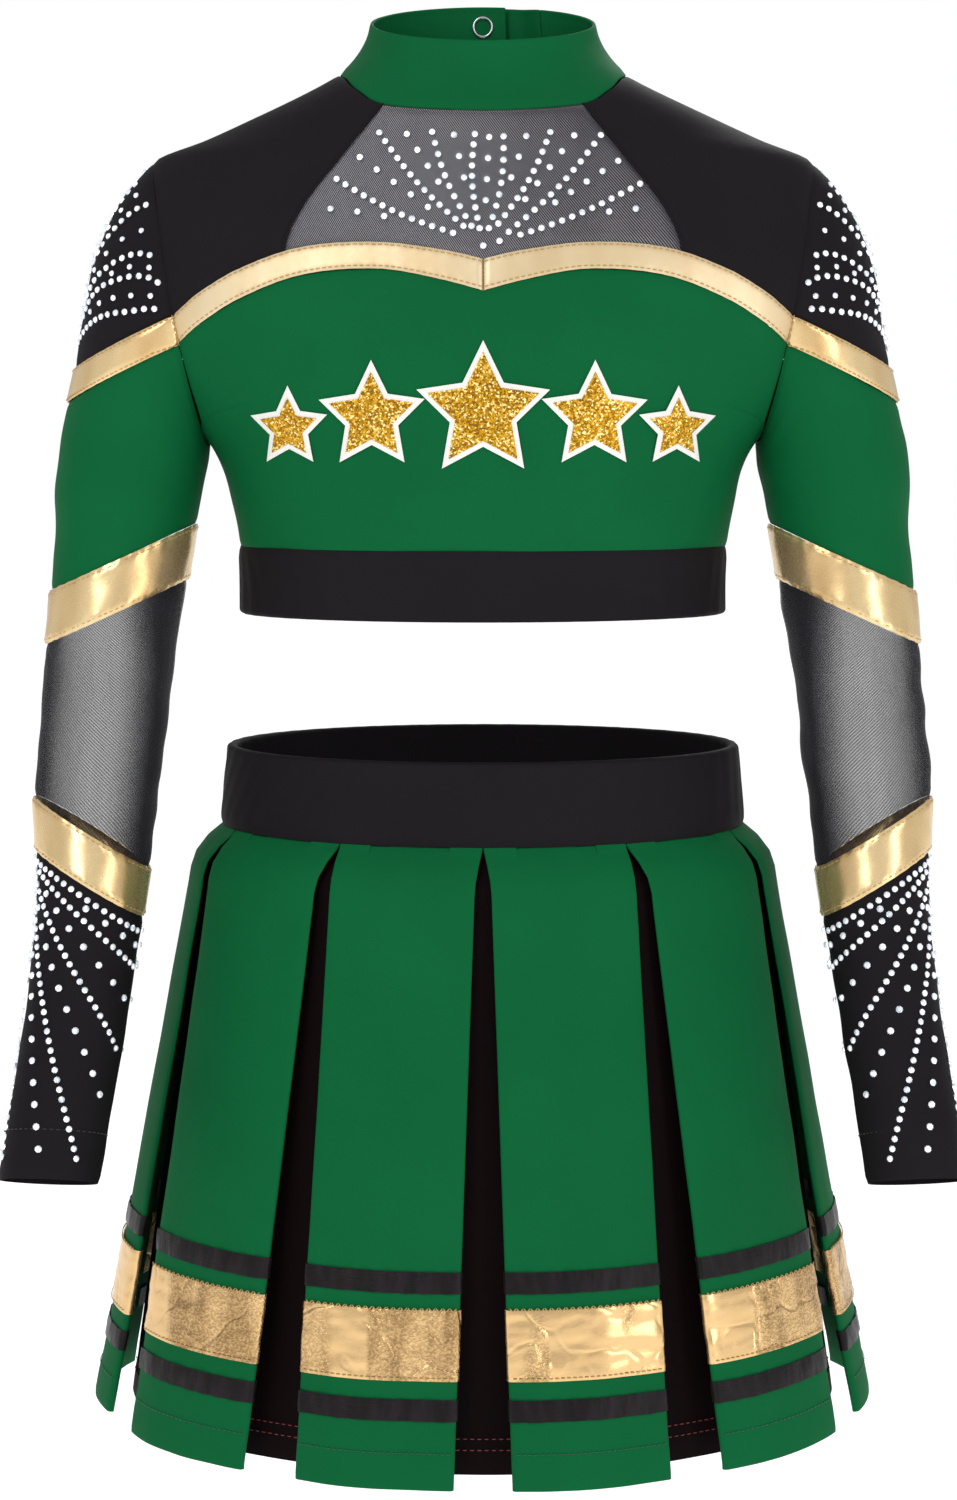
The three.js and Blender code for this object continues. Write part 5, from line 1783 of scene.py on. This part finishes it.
def make_sleeve(name, side):
    capped = cut_at(cap_strip_edge(0))
    bound = cut_at(cap_strip_edge(-BINDING_WIDTH))
    upper = cut_at(upper_strip_edge(0))
    below_upper = cut_at(upper_strip_edge(-UPPER_STRIP_WIDTH))
    lower = cut_at(lower_strip_edge(0))
    below_lower = cut_at(lower_strip_edge(-LOWER_STRIP_WIDTH))

    def armhole(turn):
        return 0.0

    def wrist(turn):
        return 1.0

    def tube(top, bottom):
        def at(u, v):
            turn = math.pi * (1 + 2 * (u % 1))
            return turn, lerp(top(turn), bottom(turn), v)

        return at

    def lens(top, bottom, plane):
        front, back = meeting_angle(plane, 1), meeting_angle(plane, -1)

        def at(u, v):
            turn = lerp(back, front, (1 - math.cos(math.pi * u)) / 2)
            return turn, lerp(top(turn), bottom(turn), v)

        return at

    outward = Vector((side * math.sin(armhole_lean), 0, -math.cos(armhole_lean)))
    hinge_x = side * (SHOULDER_HALF_WIDTH + ARMPIT_HALF_WIDTH) / 2
    hinge = Vector((hinge_x, 0, -(SHOULDER_DROP + ARMPIT_DROP) / 2)) * MM
    shoulder = {
        "from": "top",
        "to": f"sleeve_{name}",
        "start": hinge,
        "end": hinge + outward * ARMHOLE_BLEND * MM,
    }
    elbow = {
        "from": f"sleeve_{name}",
        "to": f"forearm_{name}",
        "start": Vector((0, 0, ELBOW_TOP)) * MM,
        "end": Vector((0, 0, ELBOW_BOTTOM)) * MM,
    }
    upper_arm, forearm = f"sleeve_{name}", f"forearm_{name}"
    cap = lens(armhole, capped, cap_strip_edge(0))
    cap_strip = lens(capped, bound, cap_strip_edge(-BINDING_WIDTH))
    upper_strip = tube(upper, below_upper)
    lower_strip = tube(lower, below_lower)
    cuff = tube(below_lower, wrist)
    green = tube(bound, upper)
    net = tube(below_upper, lower)
    knit, foil, gold = "black_knit", "strip_foil", "gold_foil"
    pieces = [
        ("cap", cap, 60, 30, sleeve_drape, knit, shoulder, knit),
        ("cap_strip", cap_strip, 96, 8, strip_drape(0.9, 0.15, 0.9), foil, shoulder, gold),
        ("upper_sleeve", green, 96, 44, sleeve_drape, "green_knit", shoulder, "green_knit"),
        ("upper_strip", upper_strip, 110, 12, strip_drape(1.1, 0.4), foil, upper_arm, gold),
        ("mesh_sleeve", net, 90, 40, net_drape, "sleeve_net", elbow, "sheer_net"),
        ("lower_strip", lower_strip, 100, 12, strip_drape(1.0, 0.3), foil, forearm, gold),
        ("cuff", cuff, 90, 36, sleeve_drape, knit, forearm, knit),
    ]
    for node, patch, columns, rows, relief, finish, body, slot in pieces:
        thickness = NET if node == "mesh_sleeve" else CLOTH
        loop = node not in ("cap", "cap_strip")
        cloth = f"{node}_cloth_{name}"
        piece = sheet(cloth, sleeve, patch, columns, rows, relief, thickness, loop, side)
        dress(piece, finish, body, slot, f"{node}_{name}")
        declare(piece, "stretched")
    seams = {
        "cap_strip": (cap_strip, shoulder),
        "upper_strip": (upper_strip, upper_arm),
        "lower_strip": (lower_strip, forearm),
    }
    for seam, (patch, body) in seams.items():
        for edge, share in (("upper", 0.07), ("lower", 0.93)):
            places = along_line(sleeve, lambda u: patch(u * 0.9999, share), 1.0, STITCH_PITCH, side)
            sew(f"{seam}_stitches_{edge}_{name}", places, "gold_thread", body)
    places = along_line(sleeve, lambda u: (math.pi * (1 + 2 * u), 0.955), 0.15, CUFF_PITCH, side)
    sew(f"cuff_stitches_{name}", places, "black_thread", forearm)
    return cap, cuff, shoulder, forearm


# ---- stones -----------------------------------------------------------------------------------
FAN_RAYS = [(-63.5, 29), (-45, 49), (-22, 49), (-3.6, 48), (8.8, 47), (29, 49), (51, 48), (68, 27)]
FAN_STARTS = [(-13, 5), (-8.5, 8), (-5, 8), (-1.5, 7), (2.5, 7), (6.5, 9), (11, 5.5), (7, 1.5)]
FAN_CENTRE = binding_top(0) + 6
FAN_PITCH = 4.5
SPARSE_PITCH = 7.6


def torso_stone(x, z, scale=1.0):
    place = torso_at(x, z)
    outward = torso.normal(*place)
    return torso_point(*place) + outward * 0.4, outward, scale


def fan_ray(start, end, pitch, bend, first=0.0, last=1.0):
    """Stones on one gently bent ray of the yoke's fan."""
    (x0, z0), (x1, z1) = start, end
    length = math.hypot(x1 - x0, z1 - z0)
    count = max(int(length * (last - first) / pitch), 1)
    places = []
    for k in range(count + 1):
        share = lerp(first, last, k / count)
        bow = bend * math.sin(math.pi * share)
        x = lerp(x0, x1, share) + bow * (z1 - z0) / length
        z = lerp(z0, z1, share) - bow * (x1 - x0) / length
        places.append(torso_stone(x, FAN_CENTRE + z))
    return places


def make_yoke_stones():
    places = [torso_stone(0, FAN_CENTRE - 0.5)]
    for start, end in zip(FAN_STARTS, FAN_RAYS):
        places += fan_ray(start, end, FAN_PITCH, 2.2 * math.copysign(1, end[0]))
    rays = list(zip(FAN_STARTS, FAN_RAYS))
    for (start_a, end_a), (start_b, end_b) in zip(rays, rays[1:]):
        start = [(a + b) / 2 for a, b in zip(start_a, start_b)]
        end = [(a + b) / 2 for a, b in zip(end_a, end_b)]
        places += fan_ray(start, end, SPARSE_PITCH, 0, 0.3, 0.98)
    for side in (-1, 1):
        places += fan_ray((20 * side, 6), (66 * side, 16), SPARSE_PITCH * 1.3, -1.5 * side)
    set_stones("yoke_stones", spaced(places), "top")


CAP_CORNER = (0.5, 0.96)
CAP_RAYS = [(0.5, 0.1), (0.57, 0.16), (0.66, 0.1), (0.76, 0.2), (0.83, 0.25), (0.88, 0.6)]
CUFF_CORNER = (0.5, 0.02)
CUFF_RAYS = [(0.97, 0.06), (0.98, 0.2), (0.95, 0.52), (0.857, 0.94), (0.585, 0.95)]
CUFF_SPARSE_RAYS = [(0.99, 0.12), (0.97, 0.34), (0.92, 0.72), (0.74, 0.94), (0.52, 0.95)]


def sleeve_ray(patch, start, end, pitch, side, scale=1.0, first=0.03):
    """Stones at an even pitch on a straight run between two places of a sleeve piece's own patch."""

    def line(share):
        return patch(lerp(start[0], end[0], share), lerp(start[1], end[1], share))

    track = along_line(sleeve, line, 0.4, pitch, side, first, 1.0, 60)
    return [(point, outward, scale) for point, outward, _ in track]


def make_sleeve_stones(name, side, cap, cuff, shoulder, forearm):
    """Rays of stones from the cap's and the cuff's outer corners, over the front and the back alike."""
    places = []
    for u, v in CAP_RAYS:
        for end in ((u, v), (1 - u, v)):
            places += sleeve_ray(cap, CAP_CORNER, end, 4.6, side)
    for (u0, v0), (u1, v1) in zip(CAP_RAYS, CAP_RAYS[1:]):
        for turn in (1, -1):
            end = 0.5 + turn * ((u0 + u1) / 2 - 0.5), (v0 + v1) / 2
            places += sleeve_ray(cap, CAP_CORNER, end, 9, side, 0.9, 0.3)
    set_stones(f"cap_stones_{name}", spaced(places, 3.3), shoulder)
    places = []
    for u, v in CUFF_RAYS:
        for end in ((u, v), (1 - u, v)):
            places += sleeve_ray(cuff, CUFF_CORNER, end, 4.3, side)
    for u, v in CUFF_SPARSE_RAYS:
        for end in ((u, v), (1 - u, v)):
            places += sleeve_ray(cuff, CUFF_CORNER, end, 9.5, side, 1.1)
    set_stones(f"cuff_stones_{name}", spaced(places, 3.1), forearm)


def spaced(places, gap=2.9):
    """The places that keep clear of the ones before them."""
    kept = []
    for place in places:
        if all((place[0] - other[0]).length > gap for other in kept):
            kept.append(place)
    return kept


# ---- skirt ------------------------------------------------------------------------------------
def panel_width(z):
    top_width = oval_lengths(WAIST_BOTTOM)[-1] / PLEAT_COUNT
    return lerp(top_width, PANEL_HEM_WIDTH, (WAIST_BOTTOM - z) / (WAIST_BOTTOM - HEM))


def fold_radius(z):
    return lerp(0.6, 1.7, (WAIST_BOTTOM - z) / (WAIST_BOTTOM - HEM))


def pleat_section(u, z, off):
    """Across a box pleat: its face for u in -1..1, a rounded fold to 2, then cloth turned under to 3."""
    radius = fold_radius(z)
    half = panel_width(z) / 2 - radius
    side = math.copysign(1, u)
    reach = abs(u)
    if reach <= 1:
        return u * half, off
    if reach <= 2:
        swing = (reach - 1) * math.pi
        outer = radius + off
        return side * (half + outer * math.sin(swing)), off - outer * (1 - math.cos(swing))
    return side * (half - (reach - 2) * PANEL_UNDERLAY), -2 * radius - off


def pleat_drape(k, shift, z):
    """How far a pleat stands off the skirt's oval: it bows out, and hangs a little unevenly."""
    low = (WAIST_BOTTOM - z) / (WAIST_BOTTOM - HEM)
    bow = 2.6 * low * math.cos(math.pi * shift / panel_width(z) * 0.9)
    wave = 2.2 * low * noise.noise(Vector((shift / 34, z / 150, k * 7.3)))
    return bow + wave + 0.35 * noise.noise(Vector((shift / 11, z / 26, k * 3.1)))


FACE_COLUMNS = [-3, -2.5, -2, -1.8, -1.6, -1.4, -1.2, -1]
PLEAT_COLUMNS = FACE_COLUMNS + [k / 9 for k in range(-8, 9)] + [-u for u in reversed(FACE_COLUMNS)]
TRIM_COLUMNS = [u for u in PLEAT_COLUMNS if abs(u) <= 2.5]


def panel_strip(name, k, top, bottom, rows, off, finish, slot, thickness, relief, columns, node=()):
    """Cloth across panel k between two heights, folded back at both sides."""

    def patch(u, v):
        z = lerp(top, bottom, v)
        return oval_angle((k + 0.5) / PLEAT_COUNT, pleat_section(u, z, off)[0], z), z

    def stand(spot):
        z = lerp(top, bottom, spot.v)
        shift, depth = pleat_section(spot.u, z, off)
        extra = relief(spot) if abs(spot.u) < 2 else 0
        return depth + pleat_drape(k, shift, z) + extra

    piece = sheet(name, skirt, patch, columns, rows, stand, thickness)
    body = f"panel_{k + 1}_flap"
    return dress(piece, finish, body, slot, node)


def panel_relief(spot):
    hem = 0.45 * (1 - smoothstep(spot.bottom, HEM_ALLOWANCE - 2, HEM_ALLOWANCE))
    return pinch(spot.top, 0.9, 6) + hem - 0.35 * (1 - smoothstep(spot.bottom, 0, 1.5))


def foil_relief(spot):
    edge = min(spot.top, spot.bottom)
    crinkle = 0.5 * noise.noise(spot.point / 7) + 0.35 * noise.noise(spot.point / 3.2)
    return 0.25 * smoothstep(edge, 0, 2) + crinkle * smoothstep(edge, 0, 4)


def ribbon_relief(spot):
    puckers = math.sin(spot.left * 0.7 + 3 * noise.noise(spot.point / 10))
    return 0.35 * puckers + 0.2 * math.sin(math.pi * spot.v)


TRIM_CLOTH = 0.4
TRIM_STAND = 0.7
TRIMS = {
    "upper_ribbon": (UPPER_RIBBON, "satin", "black_knit", ribbon_relief, 6),
    "gold_band": (GOLD_BAND, "skirt_foil", "gold_foil", foil_relief, 24),
    "lower_ribbon": (LOWER_RIBBON, "satin", "black_knit", ribbon_relief, 6),
}


def sew_panel(name, k, height, thread, stand, pitch, slope=0.0):
    """Stitches across a panel, following how it bows."""
    z = HEM + height
    half = panel_width(z) / 2 - fold_radius(z)
    centre = (k + 0.5) / PLEAT_COUNT

    def line(share):
        return oval_angle(centre, lerp(-half, half, share), z), z

    places = []
    for n, (point, outward, along) in enumerate(along_line(skirt, line, stand, pitch, samples=40)):
        shift = lerp(-half, half, (n + 0.5) * pitch / (2 * half))
        places.append((point + outward * pleat_drape(k, clamp(shift, -half, half), z), outward, along))
    sew(name, places, thread, f"panel_{k + 1}_flap", slope)


def make_panel(k):
    number = k + 1
    rows = [v / 40 for v in range(38)] + [0.96, 0.975, 0.99, 1.0]
    look = "green_knit", "green_knit", CLOTH, panel_relief, PLEAT_COLUMNS
    cloth, node = f"panel_cloth_{number}", f"panel_{number}"
    panel = panel_strip(cloth, k, WAIST_BOTTOM, HEM, rows, 0.0, *look, node)
    trims = []
    for trim, ((top, bottom), finish, slot, relief, count) in TRIMS.items():
        look = finish, slot, TRIM_CLOTH, relief, TRIM_COLUMNS
        top, bottom = HEM + top, HEM + bottom
        trims.append(panel_strip(f"{trim}_{number}", k, top, bottom, count, TRIM_STAND, *look))
    declare(panel, "hung", "waistband_cloth", trims)
    sew_panel(f"gold_zigzag_{number}", k, ZIGZAG_HEIGHT, "gold_thread", 1.3, ZIGZAG_PITCH, ZIGZAG_SLOPE)
    sew_panel(f"gold_edge_{number}", k, GOLD_EDGE_HEIGHT, "gold_thread", 1.3, HEM_PITCH)
    sew_panel(f"hem_stitches_{number}", k, HEM_ALLOWANCE, "green_thread", 0.55, HEM_PITCH)


def make_inset(k):
    number = k + 1
    top = WAIST_BOTTOM - 0.4

    def depth(z):
        return lerp(INSET_TOP_DEPTH, INSET_HEM_DEPTH, (top - z) / (top - HEM))

    def place(u, z):
        width = lerp(INSET_TOP_WIDTH, INSET_HEM_WIDTH, (top - z) / (top - INSET_HEM))
        return oval_angle(k / PLEAT_COUNT, (u - 0.5) * width, z), z

    def hang(u, z):
        low = (top - z) / (top - HEM)
        sway = low * noise.noise(Vector((u * 3, z / 120, k * 5.7)))
        return -depth(z) - INSET_CLEARANCE - low * (1.2 + 1.4 * math.sin(math.pi * u)) + sway

    def relief(spot):
        hem = 0.4 * (1 - smoothstep(spot.bottom, HEM_ALLOWANCE - 1, HEM_ALLOWANCE))
        return hang(spot.u, lerp(top, INSET_HEM, spot.v)) + hem

    def patch(u, v):
        return place(u, lerp(top, INSET_HEM, v))

    body = f"inset_{number}_flap"
    piece = sheet(f"inset_cloth_{number}", skirt, patch, 26, 48, relief)
    dress(piece, "inset_knit", body, "black_knit", f"inset_{number}")
    declare(piece, "hung", "waistband_cloth")
    for row, height in (("upper", HEM_ALLOWANCE), ("lower", INSET_LOWER_STITCH)):
        z = INSET_HEM + height
        track = along_line(skirt, lambda u: place(u, z), 0.6, INSET_PITCH, samples=40)
        places = []
        for n, (point, outward, along) in enumerate(track):
            u = (n + 0.5) * INSET_PITCH / INSET_HEM_WIDTH
            places.append((point + outward * hang(clamp(u, 0, 1), z), outward, along))
        sew(f"inset_stitches_{row}_{number}", places, "red_thread", body)


def make_skirt():
    folded_band("waistband_cloth", waist, WAIST_BOTTOM, WAIST_TOP, "black_knit", "skirt", "waistband")
    low, high = WAIST_BOTTOM + 5, WAIST_TOP - 2.5
    elastic_loop("waistband_elastic", waist, low, high, "skirt", "waist_elastic")
    for k in range(PLEAT_COUNT):
        make_panel(k)
        make_inset(k)


# ---- studio -----------------------------------------------------------------------------------
CAMERA_DISTANCE = 1.15
CAMERA_RISE = math.radians(7)
CAMERA_AIM = Vector((-0.002, 0, -0.309))
CAMERA_LENS = 58.5
FLOOR = -1.05
ROOM_LIGHT = 0.62


def add_area_light(name, place, aim, size, power, tint=(1, 1, 1)):
    light = bpy.data.lights.new(name, "AREA")
    light.shape = "RECTANGLE"
    light.size, light.size_y = size
    light.energy = power
    light.color = tint
    holder = bpy.data.objects.new(name, light)
    holder.location = place
    holder.rotation_euler = (Vector(aim) - Vector(place)).to_track_quat("-Z", "Y").to_euler()
    bpy.context.collection.objects.link(holder)


def make_studio():
    scene = bpy.context.scene
    scene.view_settings.view_transform = "Standard"
    camera = bpy.data.objects.new("camera", bpy.data.cameras.new("camera"))
    camera.data.lens = CAMERA_LENS
    camera.data.sensor_width = 36
    reach = Vector((0, -math.cos(CAMERA_RISE), math.sin(CAMERA_RISE))) * CAMERA_DISTANCE
    camera.location = CAMERA_AIM + reach
    camera.rotation_euler = (-reach).to_track_quat("-Z", "Y").to_euler()
    bpy.context.collection.objects.link(camera)
    scene.camera = camera
    world = bpy.data.worlds.new("studio")
    world.use_nodes = True
    nodes = world.node_tree.nodes
    path = nodes.new("ShaderNodeLightPath")
    seen = nodes.new("ShaderNodeMapRange")
    seen.inputs["To Min"].default_value = ROOM_LIGHT
    seen.inputs["To Max"].default_value = 1.0
    world.node_tree.links.new(path.outputs["Is Camera Ray"], seen.inputs["Value"])
    world.node_tree.links.new(seen.outputs["Result"], nodes["Background"].inputs["Strength"])
    nodes["Background"].inputs["Color"].default_value = (1, 1, 1, 1)
    scene.world = world
    bpy.ops.object.select_all(action="DESELECT")
    bpy.ops.mesh.primitive_plane_add(size=30, location=(0, 0, FLOOR))
    floor = bpy.context.object
    floor.name = "floor"
    finish = Finish("floor_paper")
    grain = finish.noise(0.4, 2.0)
    paper = finish.mix(grain, (0.93, 0.93, 0.93, 1), (0.95, 0.95, 0.95, 1))
    glow = {"Emission_Color": (1, 1, 1, 1), "Emission_Strength": 0.45}
    floor.data.materials.append(finish.set(Base_Color=paper, Roughness=grain * 0.1 + 0.8, **glow))
    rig.stage(floor)
    middle = (0, 0, -0.3)
    add_area_light("key", (-0.9, -1.8, 0.9), middle, (0.7, 1.6), 15)
    add_area_light("fill", (1.3, -1.5, 0.1), middle, (0.45, 1.6), 8)
    add_area_light("rim", (0.4, 1.6, 0.9), middle, (1.2, 0.8), 10)


make_studio()
make_yoke()
make_shoulders()
make_back_yoke()
make_bindings()
make_bodice()
make_underbust_band()
make_stars()
make_collar()
make_snap()
make_yoke_stones()
for sleeve_name, sleeve_side in (("left", 1), ("right", -1)):
    make_sleeve_stones(sleeve_name, sleeve_side, *make_sleeve(sleeve_name, sleeve_side))
make_skirt()
for pattern in (stitch, stone):
    bpy.data.objects.remove(pattern)

with open("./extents.json", "w") as file:
    json.dump({"cad": [list(c) for c in cad_box], "visual": [list(c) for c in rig.bounds()]}, file)
